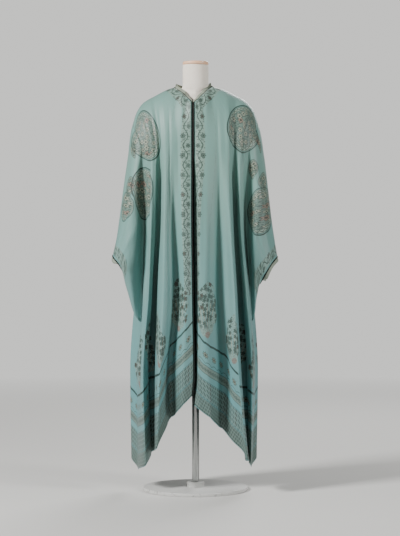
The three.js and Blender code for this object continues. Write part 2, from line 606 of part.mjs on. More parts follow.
const TOUCH = 0.3; // gap between the form's stacked pieces
const CAP_RIM = 5; // the cap's round edge
const capProfile = [
  [0, NECK_TOP + TOUCH],
  [CAP_RADIUS, NECK_TOP + TOUCH],
  [CAP_RADIUS, NECK_TOP + CAP_THICK - CAP_RIM],
  [CAP_RADIUS - 2, NECK_TOP + CAP_THICK - 2],
  [CAP_RADIUS - CAP_RIM, NECK_TOP + CAP_THICK],
  [0, NECK_TOP + CAP_THICK + 2],
];
const poleProfile = [
  [0, HUB_TOP + TOUCH],
  [POLE_RADIUS, HUB_TOP + TOUCH],
  [POLE_RADIUS, TORSO_BOTTOM - TOUCH],
  [0, TORSO_BOTTOM - TOUCH],
];
const baseProfile = [
  [0, 0],
  [BASE_RADIUS, 0],
  [BASE_RADIUS, BASE_THICK - 3],
  [BASE_RADIUS - 3, BASE_THICK],
  [HUB_RADIUS, BASE_THICK],
  [HUB_RADIUS, HUB_TOP - 3],
  [HUB_RADIUS - 3, HUB_TOP],
  [0, HUB_TOP],
];

// ---- the object ---------------------------------------------------------------------------------
const SILK = { color: 0x86a09a, roughness: 0.55, metalness: 0 };
const BAND = { color: 0x9cb3a4, roughness: 0.5, metalness: 0 };
const CORD = { color: 0x1d2b24, roughness: 0.7, metalness: 0 };
const LINEN = { color: 0xded4c4, roughness: 0.85, metalness: 0 };
const WOOD = { color: 0xc69263, roughness: 0.45, metalness: 0 };
const STEEL = { color: 0xb9bbbd, roughness: 0.35, metalness: 0.9 };
const ENAMEL = { color: 0xe4e2de, roughness: 0.5, metalness: 0.1 };

const kaftan = new THREE.Group();
function add(name, geometry, finish) {
  const mesh = new THREE.Mesh(geometry, new THREE.MeshStandardMaterial(finish));
  mesh.name = name;
  kaftan.add(mesh);
}
const sheetOf = ({ outer, inner, side }, closed = false) => faceOut(wall(outer, inner, side, closed));

add("front_left", sheetOf(frontLeft), SILK);
add("front_right", sheetOf(frontRight), SILK);
add("back", sheetOf(back), SILK);
add("sleeve_left", sheetOf(sleeveLeft, true), SILK);
add("sleeve_right", sheetOf(sleeveRight, true), SILK);
add("cord_front_left", cord(movedAside(edgeLeft.all, CORD_AWAY)), CORD);
add("cord_front_right", cord(movedAside(edgeRight.all, CORD_AWAY)), CORD);
add("cord_neck_back", cord(movedAside(backNeck(), CORD_AWAY)), CORD);
add("neck_band_left", neckBand(edgeLeft.neck, BAND_TURN), BAND);
add("neck_band_right", neckBand(edgeRight.neck, BAND_TURN), BAND);
add("neck_band_back", neckBand(backNeck(), [BAND_TURN[0], BAND_TURN[0]]), BAND);
add("cuff_cord_left", cuffLeft.cord, CORD);
add("cuff_cord_right", cuffRight.cord, CORD);
add("cuff_band_left", cuffLeft.band, BAND);
add("cuff_band_right", cuffRight.band, BAND);
add("form_torso", torsoGeometry(), LINEN);
add("form_cap", turned(capProfile), WOOD);
add("form_pole", turned(poleProfile), STEEL);
add("form_base", turned(baseProfile), ENAMEL);

export default kaftan;
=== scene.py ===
# %% [markdown]
# # A printed silk kaftan on a dress form
# A kaftan is a wide robe, open all the way down the front. This one is thin printed silk: two fronts
# and a back hang in long folds from the shoulders, and two wide sleeves narrow to small cuffs. A dark
# cord is sewn along every edge that shows. It hangs on a limbless dress form on a pole. Each piece is
# built from the same sizes as the solid model, but thinner and smoother, and then gets its finish.

# %% Load the model
import functools
import math

import bpy
import numpy as np
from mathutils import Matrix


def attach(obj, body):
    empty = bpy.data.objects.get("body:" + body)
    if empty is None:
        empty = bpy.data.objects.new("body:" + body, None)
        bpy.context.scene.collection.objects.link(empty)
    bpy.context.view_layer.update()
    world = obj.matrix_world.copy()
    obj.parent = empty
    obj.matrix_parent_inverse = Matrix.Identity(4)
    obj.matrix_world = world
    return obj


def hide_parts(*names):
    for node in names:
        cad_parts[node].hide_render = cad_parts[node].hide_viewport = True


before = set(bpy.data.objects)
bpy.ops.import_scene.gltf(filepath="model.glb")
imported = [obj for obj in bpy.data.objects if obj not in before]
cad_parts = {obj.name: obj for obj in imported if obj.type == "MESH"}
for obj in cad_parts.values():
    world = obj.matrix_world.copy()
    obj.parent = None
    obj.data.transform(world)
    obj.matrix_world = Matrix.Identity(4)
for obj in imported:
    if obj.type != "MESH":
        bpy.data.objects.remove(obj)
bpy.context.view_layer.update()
MM = 0.001

# %% [markdown]
# ## The camera
# A long lens from six metres keeps the tall robe's upright folds parallel. The lens axis is level, and
# a small shift brings the base into view without tilting, as a view camera does in a studio.

# %% Camera
FRAME_HEIGHT = 1.93      # metres of the subject's plane that fill the picture's height
CAMERA_AWAY = 6.0
CAMERA_X, CAMERA_Z = 0.016, 0.878
SUBJECT_Y = -0.06        # the plane of the front folds
SENSOR = 36.0
LENS_SHIFT = -0.0373     # as a share of the frame: down, to bring the base in

camera_data = bpy.data.cameras.new("camera")
camera_data.sensor_width = SENSOR
camera_data.lens = SENSOR * CAMERA_AWAY / FRAME_HEIGHT
camera_data.shift_y = LENS_SHIFT
camera = bpy.data.objects.new("camera", camera_data)
camera.location = (CAMERA_X, SUBJECT_Y - CAMERA_AWAY, CAMERA_Z)
camera.rotation_euler = (math.radians(90), 0, 0)
bpy.context.scene.collection.objects.link(camera)
bpy.context.scene.camera = camera
print("lens", round(camera_data.lens, 1), "mm")

# %% [markdown]
# ## Sizes
# Each fold crest and trough is one hanging line. It starts on the shoulder line or on the neckline,
# passes chest, waist, hip and knee, and ends at the hem. The tables are in millimetres, with x to the
# viewer's right, y to the back and z up. The cloth is a thousandth of its length in thickness, so a
# wall of under a millimetre already looks thick enough at its edges.

# %% Sizes and tables
CLOTH = 0.8              # the sheet's wall
SEAM = 0.1               # gap between sewn pieces
CHEST_Z, WAIST_Z, HIP_Z, KNEE_Z = 1230, 1000, 720, 430
ROLL, FALL = 5, 13       # levels from the shoulder to the chest, and from there to the hem
UNDERARM = ROLL + 7      # the level where the armhole ends and the side seam starts
SIDE_ROUND = 60          # how strongly a side seam's two panels run into each other
FOLD_COLUMNS = ("line", "top", "chest", "waist", "hip", "under", "knee", "hem")
RING_COLUMNS = ("at", "top", "front_high", "front_low", "under", "back_low", "back_high")
SHOULDER = (             # out from the middle, and how high
    (60, 1466),
    (80, 1461),
    (106, 1452),
    (146, 1431),
    (182, 1411),
    (203, 1390),
    (218, 1360),
    (229, 1325),
)


def table(columns, *rows):
    return [dict(zip(columns, row)) for row in rows]


FRONT_LEFT = table(
    FOLD_COLUMNS,
    ("edge", (-15, -106, 1400), (-15, -129), (-15, -137), (-12, -140), (), (-8, -143), (-13, -146, 352)),
    ("border", (-43, -64, 1432), (-44, -130), (-43, -141), (-34, -147), (), (-42, -153), (-44, -156, 322)),
    ("neck", (-79,), (-78, -126), (-77, -118), (-68, -114), (), (-90, -104), (-86, -100, 272)),
    ("crest", (-118,), (-105, -123), (-108, -139), (-113, -150), (), (-127, -158), (-136, -160, 168)),
    ("trough", (-156,), (-129, -106), (-132, -84), (-149, -68), (), (-156, -60), (-152, -62, 148)),
    ("crest", (-192,), (-153, -104), (-158, -112), (-168, -116), (), (-188, -118), (-177, -112, 102)),
    ("side", (-229,), (-192, -86), (-184, -52), (-191, -26), (-197, 0), (-212, 0), (-209, 0, 72)),
)
FRONT_RIGHT = table(
    FOLD_COLUMNS,
    ("edge", (-3, -106, 1400), (-3, -128), (-4, -116), (-2, -108), (), (4, -130), (-4, -146, 320)),
    ("turn", (12, -92, 1414), (14, -131), (14, -141), (15, -144), (), (13, -149), (18, -157, 302)),
    ("border", (32, -66, 1436), (38, -130), (38, -142), (34, -148), (), (41, -153), (52, -158, 277)),
    ("neck", (63,), (78, -126), (85, -118), (90, -104), (), (106, -98), (96, -104, 232)),
    ("crest", (106,), (111, -123), (121, -138), (137, -149), (), (153, -156), (183, -158, 126)),
    ("trough", (150,), (137, -106), (141, -82), (157, -62), (), (172, -56), (186, -60, 112)),
    ("crest", (190,), (160, -104), (161, -108), (181, -104), (), (202, -90), (199, -82, 95)),
    ("side", (229,), (192, -84), (179, -50), (196, -22), (204, 0), (216, 0), (203, 0, 81)),
)
BACK = table(
    FOLD_COLUMNS,
    ("side", (-229,), (-194, 80), (-190, 54), (-194, 26), (-197, 0), (-212, 0), (-209, 0, 72)),
    ("crest", (-206,), (-176, 98), (-194, 104), (-222, 92), (), (-240, 46), (-236, 52, 112)),
    ("trough", (-170,), (-146, 106), (-158, 78), (-178, 56), (), (-196, 66), (-190, 70, 150)),
    ("crest", (-128,), (-112, 120), (-120, 134), (-132, 142), (), (-146, 148), (-150, 150, 202)),
    ("neck", (-79,), (-72, 120), (-74, 104), (-80, 92), (), (-88, 84), (-92, 88, 262)),
    ("crest", (-44, 60, 1455), (-34, 124), (-30, 136), (-32, 146), (), (-36, 154), (-40, 158, 318)),
    ("trough", (2, 70, 1451), (14, 124), (16, 110), (14, 102), (), (10, 92), (8, 94, 336)),
    ("crest", (40, 58, 1456), (52, 123), (58, 137), (60, 147), (), (62, 156), (62, 160, 312)),
    ("neck", (63,), (88, 119), (98, 102), (104, 90), (), (110, 80), (112, 84, 240)),
    ("crest", (124,), (130, 118), (138, 130), (150, 138), (), (166, 142), (170, 144, 176)),
    ("trough", (170,), (152, 104), (164, 74), (182, 54), (), (198, 62), (194, 66, 140)),
    ("crest", (206,), (178, 96), (192, 100), (212, 82), (), (228, 40), (224, 44, 114)),
    ("side", (229,), (194, 80), (188, 54), (198, 26), (204, 0), (216, 0), (203, 0, 81)),
)
SLEEVE_LEFT = table(
    RING_COLUMNS,
    (0.2, (-246, 1210), (-229, -82, 1110), (-211, -74, 865),
     (-211, -4, 620), (-211, 40, 870), (-229, 60, 1100)),
    (0.45, (-262, 1100), (-252, -66, 1020), (-235, -84, 835),
     (-226, -10, 646), (-236, 34, 835), (-252, 52, 1015)),
    (0.64, (-277, 985), (-270, -56, 930), (-254, -80, 818),
     (-245, -14, 712), (-254, 36, 818), (-270, 48, 925)),
    (0.79, (-288, 910), (-282, -54, 882), (-265, -74, 820),
     (-256, -16, 750), (-265, 42, 820), (-282, 48, 880)),
    (0.88, (-297, 870), (-289, -54, 856), (-272, -66, 824),
     (-263, -14, 782), (-272, 46, 824), (-289, 46, 856)),
    (1, (-303, 844), (-296, -48, 834), (-281, -56, 822),
     (-271, -12, 808), (-281, 44, 822), (-296, 44, 834)),
)
SLEEVE_RIGHT = table(
    RING_COLUMNS,
    (0.2, (249, 1215), (231, -82, 1120), (206, -74, 868),
     (212, -2, 624), (208, 38, 870), (231, 60, 1110)),
    (0.45, (262, 1110), (247, -70, 1030), (214, -78, 838),
     (217, -6, 648), (216, 36, 838), (248, 54, 1025)),
    (0.64, (277, 980), (259, -62, 920), (225, -74, 822),
     (221, -6, 690), (226, 38, 818), (264, 50, 920)),
    (0.79, (288, 905), (268, -58, 868), (236, -68, 806),
     (226, -10, 718), (236, 42, 804), (276, 48, 872)),
    (0.88, (294, 868), (272, -56, 842), (244, -62, 792),
     (229, -10, 736), (244, 42, 790), (280, 46, 844)),
    (1, (300, 838), (277, -50, 814), (252, -54, 778),
     (235, -10, 752), (250, 40, 774), (280, 42, 814)),
)
print("hanging lines", len(FRONT_LEFT), len(FRONT_RIGHT), len(BACK))

# %% [markdown]
# ## Smooth curves
# Hanging cloth never wriggles between two places that hold it, so the curves through the tables are
# monotone cubics: they pass through every value and never overshoot one.

# %% Curves


def hermite(a, b, tangent_a, tangent_b, t):
    """The cubic from a to b with given tangents, at share t of the way."""
    t2, t3 = t * t, t * t * t
    rise = 3 * t2 - 2 * t3
    return a * (1 - rise) + b * rise + (t3 - 2 * t2 + t) * tangent_a + (t3 - t2) * tangent_b


def monotone(knots, values):
    """A curve through values at knots that turns back only where the values do."""
    knots, values = np.array(knots, float), np.array(values, float)
    slope = np.diff(values) / np.diff(knots)
    tangent = np.concatenate((slope[:1], np.zeros(len(slope) - 1), slope[-1:]))
    for k in range(1, len(slope)):
        before, after = slope[k - 1], slope[k]
        if before * after > 0:
            tangent[k] = 2 * before * after / (before + after)

    def curve(at):
        k = np.clip(np.searchsorted(knots, at, side="right") - 1, 0, len(knots) - 2)
        step = knots[k + 1] - knots[k]
        t = (at - knots[k]) / step
        return hermite(values[k], values[k + 1], tangent[k] * step, tangent[k + 1] * step, t)

    return curve


def smoothstep(at, low, high):
    t = np.clip((at - low) / (high - low), 0, 1)
    return t * t * (3 - 2 * t)


def unit(vectors):
    return vectors / np.maximum(np.linalg.norm(vectors, axis=-1, keepdims=True), 1e-9)


shoulder_line = monotone(*zip(*SHOULDER))


def shoulder_z(x):
    return shoulder_line(np.maximum(np.abs(x), SHOULDER[0][0]))


print("shoulder at 150 mm:", round(float(shoulder_z(150.0))), "mm high")

# %% [markdown]
# ## Panels
# A hanging line turns a quarter round over the shoulder and then falls. Between two lines the cloth
# runs level over each crest and through each trough, which gives soft, rounded folds. At the side seam
# the front and back panels run straight into each other.

# %% Panel surfaces


def hanging_line(row, level):
    """The points of one hanging line at an array of levels, 0 at its top and ROLL + FALL at the hem."""
    top_x = row["top"][0]
    top_y, top_z = row["top"][1:] or (0, float(shoulder_z(top_x)))
    hem_x, hem_y, hem_z = row["hem"]
    underarm_z = CHEST_Z + (hem_z - CHEST_Z) * (UNDERARM - ROLL) / FALL
    heights = (CHEST_Z, WAIST_Z, HIP_Z, underarm_z, KNEE_Z, hem_z)
    marks = (row["chest"], row["waist"], row["hip"], row["under"], row["knee"], (hem_x, hem_y))
    drop = [-z for z, mark in zip(heights, marks) if mark]
    places = [mark for mark in marks if mark]
    x_at = monotone([-top_z] + drop, [top_x] + [p[0] for p in places])
    y_at = monotone(drop, [p[1] for p in places])
    turn = np.clip(level / ROLL, 0, 1) * math.pi / 2
    rolled = top_z + (CHEST_Z - top_z) * (1 - np.cos(turn))
    z = np.where(level <= ROLL, rolled, CHEST_Z + (hem_z - CHEST_Z) * (level - ROLL) / FALL)
    over = top_y + (row["chest"][1] - top_y) * np.sin(turn)
    y = np.where(level <= ROLL, over, y_at(np.maximum(-z, -CHEST_Z)))
    return np.stack((x_at(-z), y, z), axis=-1)


def crossing(rows, lines, i, level, facing):
    """The way the cloth runs across a hanging line, at each level."""
    before, after = lines[max(i - 1, 0)], lines[min(i + 1, len(rows) - 1)]
    inner = 0 < i < len(rows) - 1
    way = np.zeros_like(lines[i])
    way[:, 0] = (after[:, 0] - before[:, 0]) * (0.5 if inner else 1)
    if rows[i]["line"] == "side":
        below = smoothstep(level, UNDERARM - 3, UNDERARM)
        way[:, 0] *= 1 - below
        way[:, 1] = (facing if i == 0 else -facing) * SIDE_ROUND * below
    return way


def span(rows, lines, i, level, facing, t):
    """The points between hanging lines i and i + 1, at share t of the way across."""
    a, b = lines[i], lines[i + 1]
    way_a, way_b = crossing(rows, lines, i, level, facing), crossing(rows, lines, i + 1, level, facing)
    high = np.clip(1 - level / ROLL, 0, 1)
    on_shoulder = [len(rows[k]["top"]) == 1 for k in (i, i + 1)]
    for way, own, other in ((way_a, i, 1), (way_b, i + 1, 0)):
        if rows[own]["line"] == "neck" and not on_shoulder[other]:
            way[:, 1] += (b[:, 1] - a[:, 1]) * high
    points = hermite(a, b, way_a, way_b, t)
    points[:, 2] = a[:, 2] + (b[:, 2] - a[:, 2]) * t
    if all(on_shoulder):
        rise = shoulder_z(a[0, 0] + (b[0, 0] - a[0, 0]) * t) - (a[0, 2] + (b[0, 2] - a[0, 2]) * t)
        points[:, 2] += rise * np.cos(np.clip(level / ROLL, 0, 1) * math.pi / 2)
    return points


FINE_ACROSS = 12         # samples from one hanging line to the next
FINE_LEVELS = np.concatenate((np.linspace(0, ROLL, 26)[:-1], np.linspace(ROLL, ROLL + FALL, 105)))


def panel_surface(rows, facing):
    """A panel's grid from its table, facing -1 to the front or 1 to the back."""
    lines = [hanging_line(row, FINE_LEVELS) for row in rows]
    columns = []
    for i in range(len(rows) - 1):
        last = i == len(rows) - 2
        for t in np.linspace(0, 1, FINE_ACROSS + 1)[: None if last else -1]:
            columns.append(span(rows, lines, i, FINE_LEVELS, facing, t))
    grid = np.stack(columns, axis=1)
    grid[:, :, 1] += facing * SEAM / 2
    return grid


front_left_grid = panel_surface(FRONT_LEFT, -1)
front_right_grid = panel_surface(FRONT_RIGHT, -1)
back_grid = panel_surface(BACK, 1)
print("grids", front_left_grid.shape, front_right_grid.shape, back_grid.shape)

# %% [markdown]
# ## Sleeves
# Each sleeve starts on the armhole edges of a front and of the back, and is lofted through a few rings
# down to the cuff. A ring is a round spline through six places: the top on the arm line, two in front,
# the seam under it and two behind. Near the armhole the seam's edge is sharp, and it softens on the way.

# %% Sleeve surfaces
RING_MARKS = 6           # places in a ring
RING_STEPS = 2 * UNDERARM
RING_SAMPLES = 5 * RING_STEPS
RING_LEVELS = np.arange(RING_SAMPLES) * RING_STEPS / RING_SAMPLES
SLEEVE_CUT = 0.955       # where the sleeve ends and the cuff's cord begins
SLEEVE_AT = np.linspace(0, SLEEVE_CUT, 74)
ARMHOLE_GAP, UNDERARM_OUT, UNDERARM_LIFT = 0.2, 1.6, 2
CUFF_EVENING = 300       # how often the cuff's direction is evened out round its ring


def ring_point(marks, at):
    """A point on the closed centripetal spline through marks, at 0 to 1 of the way round."""
    place = at * len(marks)
    k = int(place)
    p = [marks[(k + step - 1) % len(marks)] for step in range(4)]
    gap = [max(float(np.sum((b - a) ** 2)) ** 0.25, 1e-4) for a, b in zip(p, p[1:])]
    leave = (p[1] - p[0]) / gap[0] - (p[2] - p[0]) / (gap[0] + gap[1]) + (p[2] - p[1]) / gap[1]
    arrive = (p[2] - p[1]) / gap[1] - (p[3] - p[1]) / (gap[1] + gap[2]) + (p[3] - p[2]) / gap[2]
    return hermite(p[1], p[2], leave * gap[1], arrive * gap[1], place - k)


def sleeve_ring(row):
    """The points of one ring at RING_LEVELS, nearer to straight chords at the seam under the arm."""
    top_x, top_z = row["top"]
    marks = [np.array(p, float) for p in ((top_x, 0, top_z), *(row[name] for name in RING_COLUMNS[2:]))]
    stretch = RING_STEPS / RING_MARKS
    ring = []
    for level in RING_LEVELS:
        k = int(level / stretch)
        chord = marks[k] + (marks[(k + 1) % RING_MARKS] - marks[k]) * (level / stretch - k)
        far = min(abs(level - UNDERARM) / stretch, 1)
        sharp = (1 - row["at"]) * (1 - far**2)
        ring.append(ring_point(marks, level / RING_STEPS) * (1 - sharp) + chord * sharp)
    return np.array(ring)


def armhole_edge(rows, facing, last, level):
    """A panel's side column, with the way on across it into the sleeve."""
    lines = [hanging_line(row, level) for row in rows]
    side, i, t = (len(rows) - 1, len(rows) - 2, 2 / 3) if last else (0, 0, 1 / 3)
    edge = lines[side] + (0, facing * SEAM / 2, 0)
    beside = span(rows, lines, i, level, facing, t) + (0, facing * SEAM / 2, 0)
    return edge, unit(edge - beside)


def sleeve_surface(rows, front, front_last, back_last):
    """A sleeve's grid from armhole to cuff, and the way on at the cuff."""
    outward = np.sign(rows[0]["top"][0])
    in_front = RING_LEVELS <= UNDERARM
    level = np.where(in_front, RING_LEVELS, RING_STEPS - RING_LEVELS)
    front_edge, front_on = armhole_edge(front, -1, front_last, level)
    back_edge, back_on = armhole_edge(BACK, 1, back_last, level)
    share = np.where((level == 0) | (level == UNDERARM), 0.5, in_front)[:, None]
    edge = front_edge * share + back_edge * (1 - share)
    onward = unit(front_on * share + back_on * (1 - share))
    low = smoothstep(level, UNDERARM - 6, UNDERARM - 2)[:, None]
    end = smoothstep(level, UNDERARM - 2, UNDERARM)[:, None]
    start = edge + onward * ARMHOLE_GAP * (1 - end)
    start += low * (outward * UNDERARM_OUT, 0, 0) + end * (0, 0, UNDERARM_LIFT)
    onward = unit(onward * (1 - low) + low * (outward, 0, 0.3))
    seam = unit(np.roll(start, -1, axis=0) - np.roll(start, 1, axis=0))
    marks = [start] + [sleeve_ring(row) for row in rows]
    knots = [0] + [row["at"] for row in rows]

    def tangent(n, step):
        if n == 0:
            reach = marks[1] - marks[0]
            along = seam * np.sum(reach * seam, axis=1, keepdims=True)
            return onward * np.linalg.norm(reach - along, axis=1, keepdims=True) + along
        behind, ahead = n - 1, min(n + 1, len(marks) - 1)
        return (marks[ahead] - marks[behind]) * step / (knots[ahead] - knots[behind])

    def ring_at(at):
        k = min(int(np.searchsorted(knots, at, side="right")) - 1, len(knots) - 2)
        step = knots[k + 1] - knots[k]
        return hermite(marks[k], marks[k + 1], tangent(k, step), tangent(k + 1, step), (at - knots[k]) / step)

    grid = np.stack([ring_at(at) for at in SLEEVE_AT])
    way = unit(ring_at(1) - grid[-1])
    for _ in range(CUFF_EVENING):
        way = unit(way * 2 + np.roll(way, 1, axis=0) + np.roll(way, -1, axis=0))
    return grid, way


sleeve_left_grid, cuff_left_way = sleeve_surface(SLEEVE_LEFT, FRONT_LEFT, True, False)
sleeve_right_grid, cuff_right_way = sleeve_surface(SLEEVE_RIGHT, FRONT_RIGHT, True, True)
print("sleeve grids", sleeve_left_grid.shape, "cuff ring z", sleeve_left_grid[-1, :, 2].min().round())

# %% [markdown]
# ## The main creases
# Thin silk that hangs has a few finer creases between its big folds. Each is one row below: a soft
# ridge, or a trough where the depth is below 0, with its place across the panel, the heights where it
# starts and fades, its depth and its width. They are uneven, because no two creases are alike. The
# last rows of the fronts and the back make their main folds deeper, and the sleeves get slanting
# creases where the cloth drops from the arm line.

# %% Creases
CREASE_COLUMNS = ("across", "high", "low", "depth", "width", "lean")
CREASES = {
    "front_left": table(
        CREASE_COLUMNS,
        (0.13, 1180, 560, 2.2, 9, 6),
        (0.27, 1330, 900, -2.6, 11, -5),
        (0.41, 1390, 980, -2.4, 10, 6),
        (0.46, 930, 420, 2.4, 10, -4),
        (0.58, 1400, 1150, 3.0, 12, 10),
        (0.63, 1010, 380, -2.6, 10, 5),
        (0.75, 1380, 1120, -3.0, 12, 8),
        (0.80, 860, 240, 2.6, 11, -6),
        (0.91, 1320, 960, 2.8, 11, 6),
        (0.333, 1150, -250, -9, 13, 0),
        (0.667, 1420, 20, -12, 11, 0),
        (0.667, 900, 60, -12, 9, 0),
        (0.76, 1300, 300, 5, 7, 0),
        (0.90, 1380, 300, -12, 9, 0),
        (0.93, 960, 300, -22, 10, 0),
        (0.42, 1330, 500, -4, 8, 0),
    ),
    "front_right": table(
        CREASE_COLUMNS,
        (0.20, 1240, 700, 2.0, 9, -5),
        (0.33, 1100, 420, -2.4, 11, 5),
        (0.46, 1400, 1010, -2.6, 11, -6),
        (0.52, 900, 330, 2.6, 10, 6),
        (0.62, 1400, 1160, 3.2, 13, -8),
        (0.68, 1000, 300, -2.4, 10, -4),
        (0.79, 1370, 1080, -3.0, 12, -8),
        (0.84, 880, 260, 2.6, 10, 5),
        (0.93, 1310, 940, 2.4, 10, -6),
        (0.43, 1330, -250, -10, 15, 0),
        (0.53, 1000, 0, -18, 15, 0),
        (0.714, 1420, -100, -13, 10, 0),
        (0.714, 900, 60, -12, 8, 0),
        (0.90, 1380, 300, -9, 9, 0),
    ),
    "back": table(
        CREASE_COLUMNS,
        (0.07, 1250, 820, 2.4, 12, 4),
        (0.14, 1000, 360, -2.6, 12, -5),
        (0.22, 1390, 1080, 3.0, 12, -6),
        (0.31, 960, 330, 2.4, 11, 5),
        (0.38, 1380, 940, -2.8, 12, -4),
        (0.47, 1420, 1060, 2.4, 11, 3),
        (0.54, 900, 420, -2.4, 12, 4),
        (0.61, 1400, 900, 2.8, 12, 5),
        (0.70, 1000, 340, -2.6, 11, -5),
        (0.78, 1380, 1060, 2.8, 12, 6),
        (0.87, 980, 300, 2.4, 12, -5),
        (0.94, 1250, 820, -2.4, 12, -4),
        (0.167, 1400, -150, -10, 13, 0),
        (0.333, 1250, -150, -8, 14, 0),
        (0.5, 1300, -150, -9, 15, 0),
        (0.667, 1250, -150, -8, 14, 0),
        (0.833, 1400, -150, -10, 13, 0),
    ),
    "sleeve_left": table(
        CREASE_COLUMNS,
        (0.10, 1240, 900, 2.6, 14, 30),
        (0.17, 1130, 840, -2.8, 13, 24),
        (0.26, 1060, 800, 3.0, 14, 18),
        (0.36, 900, 690, -2.4, 13, 10),
        (0.62, 930, 700, 2.4, 13, 10),
        (0.74, 1080, 820, -2.8, 14, 18),
        (0.86, 1210, 880, 2.6, 14, 26),
    ),
    "sleeve_right": table(
        CREASE_COLUMNS,
        (0.09, 1230, 890, -2.6, 14, 30),
        (0.16, 1120, 850, 2.8, 13, 24),
        (0.25, 1050, 800, -3.0, 14, 18),
        (0.35, 890, 700, 2.4, 13, 10),
        (0.63, 920, 700, -2.4, 13, 10),
        (0.75, 1070, 820, 2.8, 14, 18),
        (0.88, 1200, 880, -2.6, 14, 26),
    ),
}


def steps_between(grid, axis):
    """Distances from each point to the next along an axis, and their running sum from the first."""
    gap = np.linalg.norm(np.diff(grid, axis=axis), axis=2)
    pad = [(0, 0), (0, 0)]
    pad[axis] = (1, 0)
    return np.pad(np.cumsum(gap, axis=axis), pad)


def run_along(line):
    """The distance from a line's first point to each of its points."""
    return np.concatenate(([0], np.cumsum(np.linalg.norm(np.diff(line, axis=0), axis=1))))


def on_line(line, run, at):
    """The points of a line at given distances along it."""
    return np.stack([np.interp(at, run, line[:, n]) for n in range(3)], -1)


def outward_normals(grid, closed=False):
    """Unit normals of a grid, from the points beside each point."""
    across = np.roll(grid, -1, 1) - np.roll(grid, 1, 1) if closed else np.gradient(grid, axis=1)
    return unit(np.cross(across, np.gradient(grid, axis=0)))


def creased(name, grid, out, closed=False):
    """The grid with its creases: each a soft ridge, or a trough where its depth is below 0."""
    columns = grid.shape[1]
    run = steps_between(grid, 1).mean(axis=0)
    if closed:
        run = np.append(run, run[-1] + run[1])
    shift = np.zeros(grid.shape[:2])
    for crease in CREASES[name]:
        column = crease["across"] * (len(run) - 1)
        centre = np.interp(column, np.arange(len(run)), run)
        t = (crease["high"] - grid[:, :, 2]) / (crease["high"] - crease["low"])
        fade = smoothstep(t, -0.05, 0.3) * (1 - smoothstep(t, 0.6, 1.05))
        away = run[None, :columns] - centre - crease["lean"] * np.sin(np.clip(t, 0, 1) * math.pi)
        if closed:
            away = (away + run[-1] / 2) % run[-1] - run[-1] / 2
        shift += crease["depth"] * fade * np.exp(-((away / crease["width"]) ** 2))
    return grid + out * shift[:, :, None]


GRIDS = {
    "front_left": (front_left_grid, False),
    "front_right": (front_right_grid, False),
    "back": (back_grid, False),
    "sleeve_left": (sleeve_left_grid, True),
    "sleeve_right": (sleeve_right_grid, True),
}
OUT = {}
PLAIN_ROWS = 6           # rows and columns beside a seam or an edge over which the creases fade
MIDDLE_RING = 30
for name, (grid, closed) in GRIDS.items():
    out = outward_normals(grid, closed)
    if closed:
        facing = np.sum(out[MIDDLE_RING] * (grid[MIDDLE_RING] - grid[MIDDLE_RING].mean(axis=0)))
    else:
        facing = out[len(grid) // 3, :, 1].mean()
    if facing * (-1 if name.startswith("front") else 1) < 0:
        out = -out
    OUT[name] = out
    push = creased(name, grid, out, closed) - grid
    down, across = np.arange(len(grid)), np.arange(grid.shape[1])
    share = smoothstep(down, 0, PLAIN_ROWS)[:, None]
    if closed:
        share = share * smoothstep(down[::-1], 0, PLAIN_ROWS)[:, None]
    else:
        share = share * smoothstep(np.minimum(across, across[::-1]), 0, PLAIN_ROWS)
    GRIDS[name] = (grid + push * share[:, :, None], closed)
    print(name, "deepest crease", round(float(np.abs(push).max()), 1), "mm")

# %% [markdown]
# ## From a grid to a thin sheet
# Real silk is a sheet, so each grid becomes a shell under a millimetre thick with closed edges. Three
# UV maps say where a point is on the flat cloth, in metres. "cloth" counts across from a front's edge
# or the back's middle, and up from the hem, so a print follows the cloth over every fold. "level" has
# the height above the floor instead, for what hangs upright, and it runs on from the fronts over the
# sleeves. "border" counts in from the neckline and the front edge, for the vine beside them.

# %% Pieces
PIECES = {}


def new_piece(name, mesh):
    """A smooth piece made from a mesh, on the one body that there is."""
    mesh.polygons.foreach_set("use_smooth", [True] * len(mesh.polygons))
    mesh.update()
    piece = bpy.data.objects.new(name, mesh)
    bpy.context.scene.collection.objects.link(piece)
    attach(piece, "root")
    PIECES[name] = piece
    return piece


def stand_for(piece, node):
    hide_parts(node)


def corner_points(mesh):
    """Which point each corner of each face is."""
    corner = np.empty(len(mesh.loops), int)
    mesh.loops.foreach_get("vertex_index", corner)
    return corner


print("pieces so far", len(PIECES))

# %% Sheets


